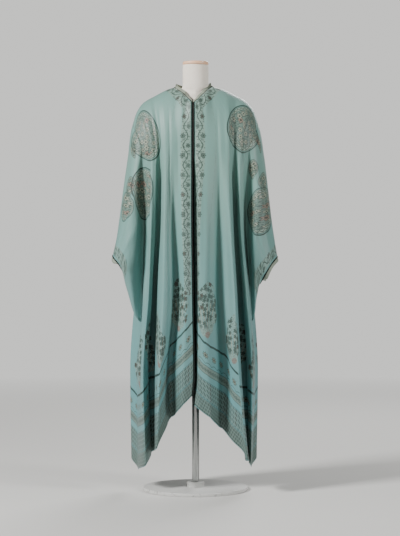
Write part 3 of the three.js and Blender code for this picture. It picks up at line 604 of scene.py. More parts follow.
def sheet_object(name, grid, out, coordinates, around=None, wall=CLOTH):
    """A thin shell on a grid in millimetres, with UV maps given in metres at each grid point. A tube
    also has the distance around it at each row, to part its maps along the seam under it."""
    closed = around is not None
    rows, columns = grid.shape[:2]
    count = rows * columns
    points = np.concatenate((grid.reshape(-1, 3), (grid - out * wall).reshape(-1, 3))) * MM
    spans = columns if closed else columns - 1
    j, i = np.meshgrid(np.arange(rows - 1), np.arange(spans), indexing="ij")
    k = (i + 1) % columns
    outer = np.stack((j * columns + i, (j + 1) * columns + i, (j + 1) * columns + k, j * columns + k), -1)
    outer = outer.reshape(-1, 4)
    faces = [outer, outer[:, ::-1] + count]
    rims = [np.stack((np.arange(spans), (np.arange(spans) + 1) % columns), -1)]
    rims.append(rims[0][:, ::-1] + (rows - 1) * columns)
    if not closed:
        down = np.arange(rows - 1)
        rims.append(np.stack((down + 1, down), -1) * columns)
        rims.append(np.stack((down, down + 1), -1) * columns + columns - 1)
    for rim in rims:
        faces.append(np.stack((rim[:, 0], rim[:, 1], rim[:, 1] + count, rim[:, 0] + count), -1))
    faces = np.concatenate(faces)
    a, b, d = (grid.reshape(-1, 3)[outer[len(outer) // 2, n]] for n in (0, 1, 3))
    if np.dot(np.cross(b - a, d - a), out.reshape(-1, 3)[outer[len(outer) // 2, 0]]) < 0:
        faces = faces[:, ::-1]
    mesh = bpy.data.meshes.new(name)
    mesh.from_pydata(points.tolist(), [], faces.tolist())
    corner = corner_points(mesh)
    for map_name, values in coordinates.items():
        layer = mesh.uv_layers.new(name=map_name)
        flat = np.tile(values.reshape(-1, 2), (2, 1))[corner]
        if closed and map_name == "cloth":
            lap = np.tile(np.repeat(around, columns), 2)[corner].reshape(-1, 4)
            u = flat[:, 0].reshape(-1, 4)
            over_seam = (np.ptp(u, axis=1, keepdims=True) > 0.5 * lap) & (u > 0)
            flat[:, 0] = np.where(over_seam, u - lap, u).ravel()
        layer.data.foreach_set("uv", flat.astype(np.float32).ravel())
    return new_piece(name, mesh)


def flat_sizes(grid, closed=False):
    """The cloth's width, length and area in metres, as it would lie flat."""
    full = np.concatenate((grid, grid[:, :1]), axis=1) if closed else grid
    a, b, c, d = full[:-1, :-1], full[1:, :-1], full[1:, 1:], full[:-1, 1:]
    area = np.linalg.norm(np.cross(b - a, d - a), axis=2) + np.linalg.norm(np.cross(b - c, d - c), axis=2)
    width = steps_between(full, 1)[:, -1].max()
    lengths = steps_between(full, 0)[-1]
    length = lengths.mean() if closed else lengths.max()
    return width * MM, length * MM, float(area.sum()) / 2 * MM**2


def panel_maps(grid, middle):
    """Across from a middle column and up from the hem, and the same across with the height itself."""
    run = steps_between(grid, 1)
    across = run - run[:, middle : middle + 1]
    down = steps_between(grid, 0)
    up = down[-1][None, :] - down
    return {"cloth": np.stack((across, up), -1) * MM, "level": np.stack((across, grid[:, :, 2]), -1) * MM}


def neckline_columns(rows):
    return next(i for i, row in enumerate(rows) if row["line"] == "neck") * FINE_ACROSS


PAST_NECK = 60           # the neckline is carried on this far past the neck point
NECK_SAMPLES = 600       # places along the neckline that the vine is measured from
NECK_SOFT = 12           # and the length, mm, over which it rounds the neckline's bends


def border_map(grid, across, neck, has_edge):
    """How far a point is from the neckline or the front edge, and how far along it, from the V on a
    front and from a neck point on the back."""
    line = grid[0, neck]
    before = line[0] + unit(line[0] - line[1]) * PAST_NECK
    after = line[-1] + unit(line[-1] - line[-2]) * PAST_NECK
    line = np.concatenate(([before], line, [after]))
    run = run_along(line)
    at = np.linspace(0, run[-1], NECK_SAMPLES)
    line = on_line(line, run, at)
    distance = np.empty(grid.shape[:2])
    along = np.empty(grid.shape[:2])
    for j, row in enumerate(grid):
        to_line = np.linalg.norm(row[:, None] - line[None], axis=2)
        distance[j] = to_line.min(axis=1)
        pull = np.exp((distance[j][:, None] ** 2 - to_line**2) / (2 * NECK_SOFT**2))
        along[j] = pull @ at / pull.sum(axis=1) - PAST_NECK
    if has_edge:
        beside = across < distance
        along = np.where(beside, grid[0, 0, 2] - grid[:, :, 2], along)
        distance = np.minimum(across, distance)
    return np.stack((distance, along), -1) * MM


def sleeve_maps(grid, front, front_map):
    """"cloth" counts round from the arm line, to the front below 0, and up from the cuff. "level" goes on
    where the front's ends: across from its armhole, at the same height."""
    run = steps_between(np.concatenate((grid, grid[:, :1]), axis=1), 1)
    half = RING_SAMPLES // 2
    round_arm = np.where(np.arange(RING_SAMPLES)[None, :] <= half, -run[:, :-1], run[:, -1:] - run[:, :-1])
    to_cuff = steps_between(grid, 0)[-1][None, :] - steps_between(grid, 0)
    side = -1 if abs(front[0, -1, 0]) > abs(front[0, 0, 0]) else 0
    armhole, z = front[::-1, side], grid[:, :, 2]
    edge_x, edge_y = (np.interp(z, armhole[:, 2], np.abs(armhole[:, n])) for n in (0, 1))
    away = np.hypot(np.maximum(np.abs(grid[:, :, 0]) - edge_x, 0), np.abs(grid[:, :, 1]) - edge_y)
    across = np.interp(z, armhole[:, 2], front_map[::-1, side, 0]) + away * MM
    maps = {"cloth": np.stack((round_arm, to_cuff), -1) * MM, "level": np.stack((across, z * MM), -1)}
    return maps, run[:, -1] * MM


BACK_NECK = (neckline_columns(BACK), back_grid.shape[1] - 1 - neckline_columns(BACK[::-1]))
NECKLINES = {
    "front_left": slice(0, neckline_columns(FRONT_LEFT) + 1),
    "front_right": slice(0, neckline_columns(FRONT_RIGHT) + 1),
    "back": slice(BACK_NECK[0], BACK_NECK[1] + 1),
}
CUT = {}
MAPS = {}
for name, (grid, closed) in GRIDS.items():
    around = None
    if closed:
        front = name.replace("sleeve", "front")
        maps, around = sleeve_maps(grid, GRIDS[front][0], MAPS[front]["level"])
    else:
        maps = panel_maps(grid, grid.shape[1] // 2 if name == "back" else 0)
        neck = NECKLINES[name]
        maps["border"] = border_map(grid, maps["cloth"][:, :, 0] / MM, neck, name != "back")
    MAPS[name] = maps
    piece = sheet_object(name + "_silk", grid, OUT[name], maps, around)
    stand_for(piece, name)
    CUT[name] = width, length, area = flat_sizes(grid, closed)
    print(name, "cut", round(width, 2), "x", round(length, 2), "m, area", round(area, 2))

# %% [markdown]
# ## Cords
# The dark cord along the neck, the fronts and the cuffs is three silk strands laid round each other. A
# real cord like this is some 5 mm thick, so its grooves are modelled: the section is a three-lobed
# ring that turns as it goes along. The path follows the cloth's edge, just outside it.

# %% Cord along an edge
CORD_RADIUS = 2.6
CORD_AWAY = CORD_RADIUS - 0.1    # from the cloth's edge to the cord's middle
CORD_STEP = 1.6                  # along the cord
CORD_SIDES = 12
CORD_LAY = 11.0                  # one full turn of the strands
CORD_GROOVE = 0.14               # of the radius, between two strands
STRANDS = 3


def edge_path(points, out, away, on_seam=(False, False)):
    """Points along an edge with the way out of the cloth and the way off the edge, both square to it."""
    middle = points - out * CLOTH / 2
    run = unit(np.gradient(middle, axis=0))
    aside = away - run * np.sum(away * run, axis=1, keepdims=True)
    for end, cut_level in zip((0, -1), on_seam):
        if cut_level:
            aside[end] = (-middle[end, 0], 0, 0)
    aside = unit(aside - out * np.sum(aside * out, axis=1, keepdims=True))
    return middle, out, aside


def resampled(path, step, closed=False):
    """The same path at even steps, and the distance along it."""
    if closed:
        path = [np.concatenate((part, part[:1])) for part in path]
    run = run_along(path[0])
    count = max(int(run[-1] / step), 8)
    at = np.linspace(0, run[-1], count + 1)
    if closed:
        at = at[:-1]
    middle, out, aside = (on_line(part, run, at) for part in path)
    return (middle, unit(out), unit(aside)), at


def ring_faces(rings, sides, closed=False):
    """Quads between rings of points, with a flat cap at both ends unless the last ring meets the first."""
    faces = []
    for j in range(rings if closed else rings - 1):
        here, ahead = j * sides, (j + 1) % rings * sides
        for k in range(sides):
            beside = (k + 1) % sides
            faces.append((here + k, here + beside, ahead + beside, ahead + k))
    if not closed:
        faces.append(tuple(range(sides))[::-1])
        faces.append(tuple(range((rings - 1) * sides, rings * sides)))
    return faces


def mesh_piece(name, points, faces, node, uv=None):
    """A smooth piece from points in metres, standing for a solid node."""
    mesh = bpy.data.meshes.new(name)
    mesh.from_pydata(np.asarray(points).tolist(), [], faces)
    if uv is not None:
        layer = mesh.uv_layers.new(name="along")
        layer.data.foreach_set("uv", uv.astype(np.float32)[corner_points(mesh)].ravel())
    stand_for(new_piece(name, mesh), node)
    print(name, len(faces), "faces")


def cord_piece(name, node, path, closed=False):
    """A twisted cord beside an edge: a three-lobed ring that turns on its way."""
    (middle, out, aside), at = resampled(path, CORD_STEP, closed)
    centre = middle + aside * CORD_AWAY
    angle = np.arange(CORD_SIDES) * 2 * math.pi / CORD_SIDES
    turns = max(round(at[-1] / CORD_LAY), 1) / at[-1]
    twist = STRANDS * (angle[None, :] - at[:, None] * turns * 2 * math.pi)
    radius = CORD_RADIUS * (1 - CORD_GROOVE + CORD_GROOVE * np.abs(np.cos(twist / 2)))
    ring = out[:, None] * np.cos(angle)[None, :, None] + aside[:, None] * np.sin(angle)[None, :, None]
    points = (centre[:, None] + ring * radius[:, :, None]).reshape(-1, 3)
    faces = ring_faces(len(centre), CORD_SIDES, closed)
    first = [points[n] for n in faces[0]]
    if np.dot(np.cross(first[1] - first[0], first[3] - first[0]), first[0] - centre[0]) < 0:
        faces = [face[::-1] for face in faces]
    uv = np.stack(np.broadcast_arrays(at[:, None], angle[None, :] * CORD_RADIUS), -1).reshape(-1, 2) * MM
    mesh_piece(name, points * MM, faces, node, uv)
    print(name, round(float(at[-1])), "mm long")


def front_edge(name, rows):
    """A front's neckline from the neck point to the V, and the whole edge on down to the hem."""
    grid, out = GRIDS[name][0], OUT[name]
    neck = neckline_columns(rows)
    top = slice(neck, None, -1)
    points = np.concatenate((grid[0, top], grid[1:, 0]))
    normal = np.concatenate((out[0, top], out[1:, 0]))
    away = np.concatenate((unit(grid[0, top] - grid[1, top]), unit(grid[1:, 0] - grid[1:, 1])))
    away[neck] = unit(away[neck - 1] + away[neck + 1])
    middle, normal, aside = edge_path(points, normal, away, (True, False))
    whole = (middle, normal, aside)
    return tuple(part[: neck + 1] for part in whole), whole


neck_left, edge_left = front_edge("front_left", FRONT_LEFT)
neck_right, edge_right = front_edge("front_right", FRONT_RIGHT)
back_top = NECKLINES["back"]
neck_back = edge_path(
    GRIDS["back"][0][0, back_top],
    OUT["back"][0, back_top],
    unit(back_grid[0, back_top] - back_grid[1, back_top]),
    (True, True),
)
CUFF_EDGE = {}
for side, way in (("left", cuff_left_way), ("right", cuff_right_way)):
    grid, out = GRIDS["sleeve_" + side][0], OUT["sleeve_" + side]
    aside = unit(way - out[-1] * np.sum(way * out[-1], axis=1, keepdims=True))
    CUFF_EDGE[side] = (grid[-1] - out[-1] * CLOTH / 2, out[-1], aside)

cord_piece("cord_edge_left", "cord_front_left", edge_left)
cord_piece("cord_edge_right", "cord_front_right", edge_right)
cord_piece("cord_neck", "cord_neck_back", neck_back)
cord_piece("cord_cuff_left", "cuff_cord_left", CUFF_EDGE["left"], closed=True)
cord_piece("cord_cuff_right", "cuff_cord_right", CUFF_EDGE["right"], closed=True)

# %% [markdown]
# ## Bands
# Outside the cord, neck and cuffs end in a narrow plain band of the same silk. At the neck it stands
# up and stays clear of the form, and in the V it narrows where the two sides would meet. Each band is a
# strip of a few rows, so that it can bow a little as folded cloth does.

# %% Neck and cuff bands
BAND_WIDTH = 14.0
BAND_WALL = 1.2                  # two layers of silk, turned
BAND_TURN = (1.2, 0.2)           # how far it stands up, in radians: beside the neck, and in the V
BAND_ROWS = 7
BAND_BOW = 0.5
OPENING_X = -9                   # the middle of the V, where the bands of the two sides would meet
OPENING_GAP = 0.4
V_FROM_Y = -20                   # in front of this the neckline is in the V
NECK_MIDDLE = (0, 3)             # the form's neck: its middle, seen from above
NECK_CLEAR = 50.5                # and how far from it every band stays


def band_foot(path):
    """Where a band starts: at the outside of the cord."""
    middle, out, aside = path
    return middle + out * CLOTH / 2 + aside * (CORD_AWAY + CORD_RADIUS * 0.8)


def band_piece(name, node, foot, way, face, width, around=None):
    """A band from its foot along way, bowed towards face and kept clear of the form's neck."""
    share = np.linspace(0, 1, BAND_ROWS)[:, None, None]
    bow = np.sin(share * math.pi) * BAND_BOW
    grid = foot[None] + way[None] * width[None, :, None] * share + face[None] * bow
    from_neck = grid[:, :, :2] - NECK_MIDDLE
    reach = np.linalg.norm(from_neck, axis=2, keepdims=True)
    grid[:, :, :2] += from_neck / reach * np.maximum(NECK_CLEAR - reach, 0)
    out = np.broadcast_to(face, grid.shape)
    across = share[:, :, 0] * width[None, :]
    maps = {"cloth": np.stack((np.broadcast_to(run_along(foot), across.shape), across), -1) * MM}
    stand_for(sheet_object(name, grid, out, maps, around, wall=BAND_WALL), node)


def neck_band(name, node, path, turns):
    middle, out, aside = path
    turn = np.linspace(*turns, len(middle))[:, None]
    way = aside * np.cos(turn) + out * np.sin(turn)
    face = out * np.cos(turn) - aside * np.sin(turn)
    foot = band_foot(path)
    room = (np.abs(foot[:, 0] - OPENING_X) - OPENING_GAP) / np.maximum(np.abs(way[:, 0]), 1e-6)
    width = np.where(middle[:, 1] < V_FROM_Y, np.minimum(room, BAND_WIDTH), BAND_WIDTH)
    keep = width > 1
    band_piece(name, node, foot[keep], way[keep], face[keep], width[keep])


def cuff_band(name, node, path):
    _, out, aside = path
    foot = band_foot(path)
    lap = run_along(np.concatenate((foot, foot[:1])))[-1] * MM
    band_piece(name, node, foot, aside, out, np.full(len(foot), BAND_WIDTH), np.full(BAND_ROWS, lap))


for side, neck_path in (("left", neck_left), ("right", neck_right)):
    neck_band(f"band_neck_{side}", f"neck_band_{side}", neck_path, BAND_TURN)
    cuff_band(f"band_cuff_{side}", f"cuff_band_{side}", CUFF_EDGE[side])
neck_band("band_neck_back", "neck_band_back", neck_back, (BAND_TURN[0], BAND_TURN[0]))
print("bands", [name for name in PIECES if name.startswith("band")])

# %% [markdown]
# ## Short calls for nodes
# Stitches and finishes are both built from nodes. A few short calls keep those trees readable: a value
# that is a socket gets linked, and any other is set.

# %% Short calls for nodes


class Net:
    """Short calls that add nodes to one tree."""

    def __init__(self, tree):
        self.tree = tree

    def feed(self, socket, value):
        if isinstance(value, bpy.types.NodeSocket):
            self.tree.links.new(value, socket)
        else:
            socket.default_value = value

    def node(self, kind, inputs=(), **settings):
        node = self.tree.nodes.new(kind)
        for key, value in settings.items():
            setattr(node, key, value)
        for key, value in dict(inputs).items():
            self.feed(node.inputs[key], value)
        return node

    def math(self, operation, *values, clamp=False):
        node = self.node("ShaderNodeMath", operation=operation, use_clamp=clamp)
        for socket, value in zip(node.inputs, values):
            self.feed(socket, value)
        return node.outputs[0]

    def chain(self, operation, values):
        return functools.reduce(lambda a, b: self.math(operation, a, b), values)

    def add(self, *values):
        return self.chain("ADD", values)

    def sub(self, *values):
        return self.chain("SUBTRACT", values)

    def mul(self, *values):
        return self.chain("MULTIPLY", values)

    def div(self, a, b):
        return self.math("DIVIDE", a, b)

    def union(self, *masks):
        return self.chain("MAXIMUM", masks)

    def fit(self, value, rise, start, clamp=False):
        """start where value is 0, and rise more than that where it is 1."""
        return self.math("MULTIPLY_ADD", value, rise, start, clamp=clamp)

    def sine(self, value, turn):
        return self.math("SINE", self.mul(value, turn))

    def humps(self, value, turn):
        """A row of round humps from 0 to 1, as a scalloped edge has them."""
        return self.math("ABSOLUTE", self.sine(value, turn))

    def under(self, value, limit, soft=0.0006):
        """1 where value is below limit, with an edge as soft as printed ink."""
        return self.math("ADD", self.div(self.sub(limit, value), soft), 0.5, clamp=True)

    def near(self, value, centre, half, soft=0.0006):
        return self.under(self.math("ABSOLUTE", self.sub(value, centre)), half, soft)

    def between(self, value, low, high, soft=0.0006):
        above = self.under(self.mul(value, -1), self.mul(low, -1), soft)
        return self.mul(self.under(value, high, soft), above)

    def cell(self, value, pitch):
        """The distance from the middle of the cell that value is in."""
        return self.mul(self.sub(self.math("FRACT", self.div(value, pitch)), 0.5), pitch)

    def xyz(self, vector):
        return tuple(self.node("ShaderNodeSeparateXYZ", {"Vector": vector}).outputs)

    def xy(self, vector):
        return self.xyz(vector)[:2]

    def uv(self, name):
        return self.node("ShaderNodeUVMap", uv_map=name).outputs["UV"]

    def radius(self, x, y):
        return self.math("SQRT", self.add(self.mul(x, x), self.mul(y, y)))

    def join(self, x, y):
        return self.node("ShaderNodeCombineXYZ", {"X": x, "Y": y}).outputs["Vector"]

    def place(self):
        """Where a point is on the piece, in metres."""
        return self.node("ShaderNodeTexCoord").outputs["Object"]

    def noise(self, vector, scale, detail):
        sizes = {"Vector": vector, "Scale": scale, "Detail": detail}
        return self.node("ShaderNodeTexNoise", sizes).outputs["Fac"]

    def stretch(self, vector, scale):
        return self.node("ShaderNodeMapping", {"Vector": vector, "Scale": scale}).outputs["Vector"]

    def blend(self, share, a, b):
        """Colour a with share of colour b."""
        node = self.node("ShaderNodeMix", data_type="RGBA")
        for socket, value in zip((node.inputs[0], node.inputs[6], node.inputs[7]), (share, a, b)):
            self.feed(socket, value)
        return node.outputs[2]

    def use(self, group, inputs):
        return self.node("ShaderNodeGroup", inputs, node_tree=group).outputs

    def finish(self, shader, looks, height, strength, distance):
        """Feed the shader's sockets, and give it a bump."""
        bump = self.node("ShaderNodeBump", {"Height": height, "Strength": strength, "Distance": distance})
        for key, value in {**looks, "Normal": bump.outputs["Normal"]}.items():
            self.feed(shader.inputs[key], value)


print("calls for nodes ready")

# %% [markdown]
# ## Stitches
# The cord is couched down by small stitches that cross its inner side, and the hem is rolled and
# caught every eight millimetres. Hundreds of equal stitches along a path are a job for Geometry Nodes:
# the path is resampled at the stitch pitch, a small capsule goes on each point, and a random value with
# a fixed seed makes each a little longer or shorter, as a hand does.

# %% Stitch tree
STITCH_SEED = 7
STITCH_INPUTS = (
    ("Geometry", "NodeSocketGeometry", None),
    ("Pitch", "NodeSocketFloat", 0.006),
    ("Length", "NodeSocketFloat", 0.0026),
    ("Width", "NodeSocketFloat", 0.0006),
    ("Material", "NodeSocketMaterial", None),
    ("Seed", "NodeSocketInt", STITCH_SEED),
)
stitch_tree = bpy.data.node_groups.new("stitch row", "GeometryNodeTree")
STITCH_SOCKET = {}
for label, kind, default in STITCH_INPUTS:
    socket = stitch_tree.interface.new_socket(label, in_out="INPUT", socket_type=kind)
    if default is not None:
        socket.default_value = default
    STITCH_SOCKET[label] = socket.identifier
stitch_tree.interface.new_socket("Geometry", in_out="OUTPUT", socket_type="NodeSocketGeometry")
tree_node = Net(stitch_tree).node


def way_of(label):
    return tree_node("GeometryNodeInputNamedAttribute", {"Name": label}, data_type="FLOAT_VECTOR").outputs[0]


given = tree_node("NodeGroupInput").outputs
curve = tree_node("GeometryNodeMeshToCurve", {"Mesh": given["Geometry"]}).outputs[0]
spaced = tree_node("GeometryNodeResampleCurve", {"Curve": curve, "Length": given["Pitch"]}, mode="LENGTH")
capsule = tree_node("GeometryNodeMeshUVSphere", {"Segments": 6, "Rings": 5, "Radius": 0.5})
size = tree_node("ShaderNodeCombineXYZ", {"X": given["Length"], "Y": given["Width"], "Z": given["Width"]})
turned = tree_node("FunctionNodeAlignRotationToVector", {"Vector": way_of("lay")}, axis="X")
upright = tree_node(
    "FunctionNodeAlignRotationToVector",
    {"Rotation": turned.outputs[0], "Vector": way_of("out")},
    axis="Z",
    pivot_axis="X",
)
by_hand = tree_node(
    "FunctionNodeRandomValue",
    {"Min": (0.82, 0.95, 0.95), "Max": (1.12, 1.05, 1.05), "Seed": given["Seed"]},
    data_type="FLOAT_VECTOR",
)
sized = tree_node("ShaderNodeVectorMath", {0: size.outputs[0], 1: by_hand.outputs[0]}, operation="MULTIPLY")
placed = tree_node(
    "GeometryNodeInstanceOnPoints",
    {
        "Points": spaced.outputs[0],
        "Instance": capsule.outputs[0],
        "Rotation": upright.outputs[0],
        "Scale": sized.outputs[0],
    },
)
real = tree_node("GeometryNodeRealizeInstances", {"Geometry": placed.outputs[0]})
thread = tree_node("GeometryNodeSetMaterial", {"Geometry": real.outputs[0], "Material": given["Material"]})
tree_node("NodeGroupOutput", {0: thread.outputs[0]})
print("stitch tree", len(stitch_tree.nodes), "nodes")

# %% Stitch rows
thread_dark = bpy.data.materials.new("dark silk thread")
thread_green = bpy.data.materials.new("green silk thread")
STITCHES = {}
HEM_RISE = 8             # from the cloth's edge up to the hem stitches
HEM_PROUD = 0.05         # how far they stand off the cloth
STITCH_INSET = 0.6       # from the cloth's edge in to the middle of a cord's stitches
CORD_STITCH = (0.006, 0.0022, 0.0006)    # pitch, length and width in metres
HEM_STITCH = (0.008, 0.0024, 0.0005)


def stitch_row(name, sheet, path, thread, sizes):
    """Stitches along a path of points, lay and out in millimetres, as one piece held by its sheet."""
    points, lay, out = path
    mesh = bpy.data.meshes.new(name + "_path")
    mesh.from_pydata((points * MM).tolist(), [(n, n + 1) for n in range(len(points) - 1)], [])
    for label, values in (("lay", lay), ("out", out)):
        attribute = mesh.attributes.new(label, "FLOAT_VECTOR", "POINT")
        attribute.data.foreach_set("vector", values.astype(np.float32).ravel())
    guide = bpy.data.objects.new(name + "_path", mesh)
    bpy.context.scene.collection.objects.link(guide)
    modifier = guide.modifiers.new("stitches", "NODES")
    modifier.node_group = stitch_tree
    values = (*sizes, thread, STITCH_SEED + len(STITCHES))
    for label, value in zip(("Pitch", "Length", "Width", "Material", "Seed"), values):
        modifier[STITCH_SOCKET[label]] = value
    graph = bpy.context.evaluated_depsgraph_get()
    plain = bpy.data.meshes.new_from_object(guide.evaluated_get(graph), depsgraph=graph)
    guide.modifiers.remove(modifier)
    bpy.data.objects.remove(guide)
    plain.name = name
    piece = new_piece(name, plain)
    STITCHES.setdefault(sheet, []).append(piece)
    print(name, len(plain.polygons), "faces")


def along_edge(path):
    """Beside a cord: each stitch lies across the edge, from the cloth on to the cord."""
    (middle, out, aside), _ = resampled(path, CORD_STEP)
    return middle + out * CLOTH / 2 - aside * STITCH_INSET, aside, out


def along_hem(name):
    """A row that lies level on the outside of a panel, just above its hem."""
    grid, out = GRIDS[name][0], OUT[name]
    up = MAPS[name]["cloth"][:, :, 1] / MM
    columns = range(2, grid.shape[1] - 2)
    at, face = (
        np.array([on_line(part[::-1, i], up[::-1, i], HEM_RISE) for i in columns]) for part in (grid, out)
    )
    return at + unit(face) * HEM_PROUD, unit(np.gradient(at, axis=0)), unit(face)


COUCHED = {"front_left": edge_left, "front_right": edge_right, "back": neck_back}
for name, path in COUCHED.items():
    stitch_row(f"stitches_cord_{name}", name, along_edge(path), thread_dark, CORD_STITCH)
    stitch_row(f"stitches_hem_{name}", name, along_hem(name), thread_green, HEM_STITCH)
for side, path in CUFF_EDGE.items():
    lap = tuple(np.concatenate((part, part[:1])) for part in path)
    stitch_row(f"stitches_cuff_{side}", f"sleeve_{side}", along_edge(lap), thread_dark, CORD_STITCH)

# %% Count of sheets
print("sheets", len(CUT))

# %% [markdown]
# ## The dress form
# The form under the robe has no limbs: a padded torso with a cotton cover, a turned wooden cap on its
# neck, a steel pole and a round base. The torso is a stack of rounded sections, squarer at the hips and
# leaner over the shoulders, where it follows the cloth's own line.

# %% Form torso
TORSO_COLUMNS = ("z", "wide", "deep", "shift", "square")
TORSO = table(
    TORSO_COLUMNS,
    (800, 120, 80, -2, 2.3),
    (815, 142, 88, -4, 2.3),
    (870, 152, 93, -6, 2.3),
    (940, 140, 90, -4, 2.3),
    (1040, 112, 80, -2, 2.3),
    (1120, 126, 90, -6, 2.3),
    (1190, 140, 102, -9, 2.3),
    (1260, 148, 98, -5, 2.3),
    (1330, 158, 82, 0, 2.3),
    (1375, 165, 68, 0, 2.3),
    (1400, 166, 56, 0, 2),
    (1412, 0, 52, 0, 1.3),
    (1422, 0, 48, 0, 1.3),
    (1432, 0, 47, 1, 1.25),
    (1436, 0, 47, 2, 1.2),
    (1442, 118, 46, 3, 1.15),
    (1448, 84, 46, 3, 1.2),
    (1453, 60, 45, 3, 1.5),
    (1459, 50, 45, 3, 1.9),
    (1468, 47, 45, 3, 2),
    (1543, 47, 46, 3, 2),
)
SHOULDER_CLEAR = 3.1     # from the form up to the cloth's outside
FORM_SIDES = 96
FORM_STEP = 4.0


def shoulder_x(z):
    x = np.linspace(SHOULDER[0][0], SHOULDER[-1][0], 800)
    return np.interp(-z, -shoulder_z(x), x)


heights = [row["z"] for row in TORSO]
fine = np.unique(np.concatenate((np.arange(heights[0], heights[-1], FORM_STEP), heights)))
half = [row["wide"] or float(shoulder_x(row["z"] + SHOULDER_CLEAR)) for row in TORSO]
wide = np.interp(fine, heights, half)
deep, shift, square = (monotone(heights, [row[key] for row in TORSO])(fine) for key in TORSO_COLUMNS[2:])
angle = np.arange(FORM_SIDES) * 2 * math.pi / FORM_SIDES
power = (2 / square)[:, None]
x_share, y_share = (np.sign(turn(angle)) * np.abs(turn(angle)) ** power for turn in (np.cos, np.sin))
form_x = wide[:, None] * x_share
form_y = shift[:, None] + deep[:, None] * y_share
form_z = np.broadcast_to(fine[:, None], form_x.shape)
form_points = np.stack((form_x, form_y, form_z), -1).reshape(-1, 3) * MM
mesh_piece("form_cover", form_points, ring_faces(len(fine), FORM_SIDES), "form_torso")
print("torso rings", len(fine))

# %% [markdown]
# ## Cap, pole and base
# These three are turned on a lathe on the real form, and here too: a profile of radius and height goes
# once round the axis. Their edges are broken with small rounds, because a sharp edge catches no light.

# %% Turned pieces
TURN_SIDES = 96
EDGE_STEPS = 5


def rounded(profile, radius):
    """A profile with each corner off the axis replaced by a small arc."""
    points = [profile[0]]
    for before, corner, after in zip(profile, profile[1:], profile[2:]):
        before, corner, after = (np.array(p, float) for p in (before, corner, after))
        reach = min(radius, np.linalg.norm(corner - before) / 2.2, np.linalg.norm(after - corner) / 2.2)
        start = corner + unit(before - corner) * reach
        end = corner + unit(after - corner) * reach
        for t in np.linspace(0, 1, EDGE_STEPS):
            points.append(tuple(start * (1 - t) ** 2 + 2 * corner * t * (1 - t) + end * t**2))
    points.append(profile[-1])
    return points


def ring(radius, z, sides):
    """The points of a level circle round the axis."""
    turn = np.arange(sides) * 2 * math.pi / sides
    return np.stack((radius * np.cos(turn), radius * np.sin(turn), np.full(sides, z)), -1)


def turned_piece(name, node, profile, edge):
    """A profile of radius and height, turned once round the axis."""
    profile = rounded(profile, edge)
    inner = profile[1:-1]
    rings = [ring(r, z, TURN_SIDES) for r, z in inner]
    points = np.concatenate(rings + [[(0, 0, profile[0][1]), (0, 0, profile[-1][1])]]) * MM
    faces = ring_faces(len(inner), TURN_SIDES)[:-2]
    bottom, top = len(inner) * TURN_SIDES, len(inner) * TURN_SIDES + 1
    last = (len(inner) - 1) * TURN_SIDES
    for k in range(TURN_SIDES):
        beside = (k + 1) % TURN_SIDES
        faces += [(bottom, beside, k), (top, last + k, last + beside)]
    mesh_piece(name, points, faces, node)


CAP_PROFILE = ((0, 1543.3), (47, 1543.3), (47, 1555), (0, 1557))
POLE_PROFILE = ((0, 30.3), (13, 30.3), (13, 799.7), (0, 799.7))
BASE_PROFILE = ((0, 0), (190, 0), (190, 12), (32, 12), (32, 30), (0, 30))
turned_piece("form_wood_cap", "form_cap", CAP_PROFILE, 4)
turned_piece("form_steel_pole", "form_pole", POLE_PROFILE, 0.8)
turned_piece("form_round_base", "form_base", BASE_PROFILE, 2.5)

# %% [markdown]
# ## Patterns as shader groups
# The print is drawn by arithmetic on the cloth's own map, so it follows every fold and needs no
# picture. Each motif is one group with named inputs and masks for outputs, used wherever it stands.

# %% Shader groups


def pattern(name, inputs, outputs):
    """A new shader group with named sockets, its inputs by name, and a call that sets its outputs."""
    tree = bpy.data.node_groups.new(name, "ShaderNodeTree")
    for key, default in inputs.items():
        kind = "NodeSocketVector" if key == "Vector" else "NodeSocketFloat"
        socket = tree.interface.new_socket(key, in_out="INPUT", socket_type=kind)
        if key != "Vector":
            socket.default_value = default
    for key in outputs:
        tree.interface.new_socket(key, in_out="OUTPUT", socket_type="NodeSocketFloat")
    net = Net(tree)
    given = net.node("NodeGroupInput").outputs
    result = net.node("NodeGroupOutput")

    def finish_with(**masks):
        for key, mask in masks.items():
            net.feed(result.inputs[key], mask)

    return tree, net, given, finish_with


print("groups so far", len(bpy.data.node_groups))

# %% [markdown]
# ## Flowers
# Every motif on the print is an ordinary block-printed flower or leaf, made here from a formula: the
# petals are a cosine round a circle, with dark outlines, a dark heart and pale petals. A field of them
# takes its places from a Voronoi pattern, which never puts two flowers on top of each other.

# %% Flower and flower field
INK_LINE = 0.0011        # half the width of a printed line, in metres

flower_inputs = {"X": 0, "Y": 0, "Size": 0.006, "Petals": 6}
flower, net, given, finish_with = pattern("flower", flower_inputs, ("Ink", "Fill"))
distance = net.radius(given["X"], given["Y"])
angle = net.math("ARCTAN2", given["Y"], given["X"])
wave = net.math("COSINE", net.mul(angle, given["Petals"]))
edge = net.mul(given["Size"], net.fit(wave, 0.2, 0.8))
heart = net.under(distance, net.mul(given["Size"], 0.3))
petal_line = net.near(distance, edge, INK_LINE)
finish_with(Ink=net.union(heart, petal_line), Fill=net.under(distance, edge))


def one_flower(net, x, y, size, petals):
    return net.use(flower, {"X": x, "Y": y, "Size": size, "Petals": petals})


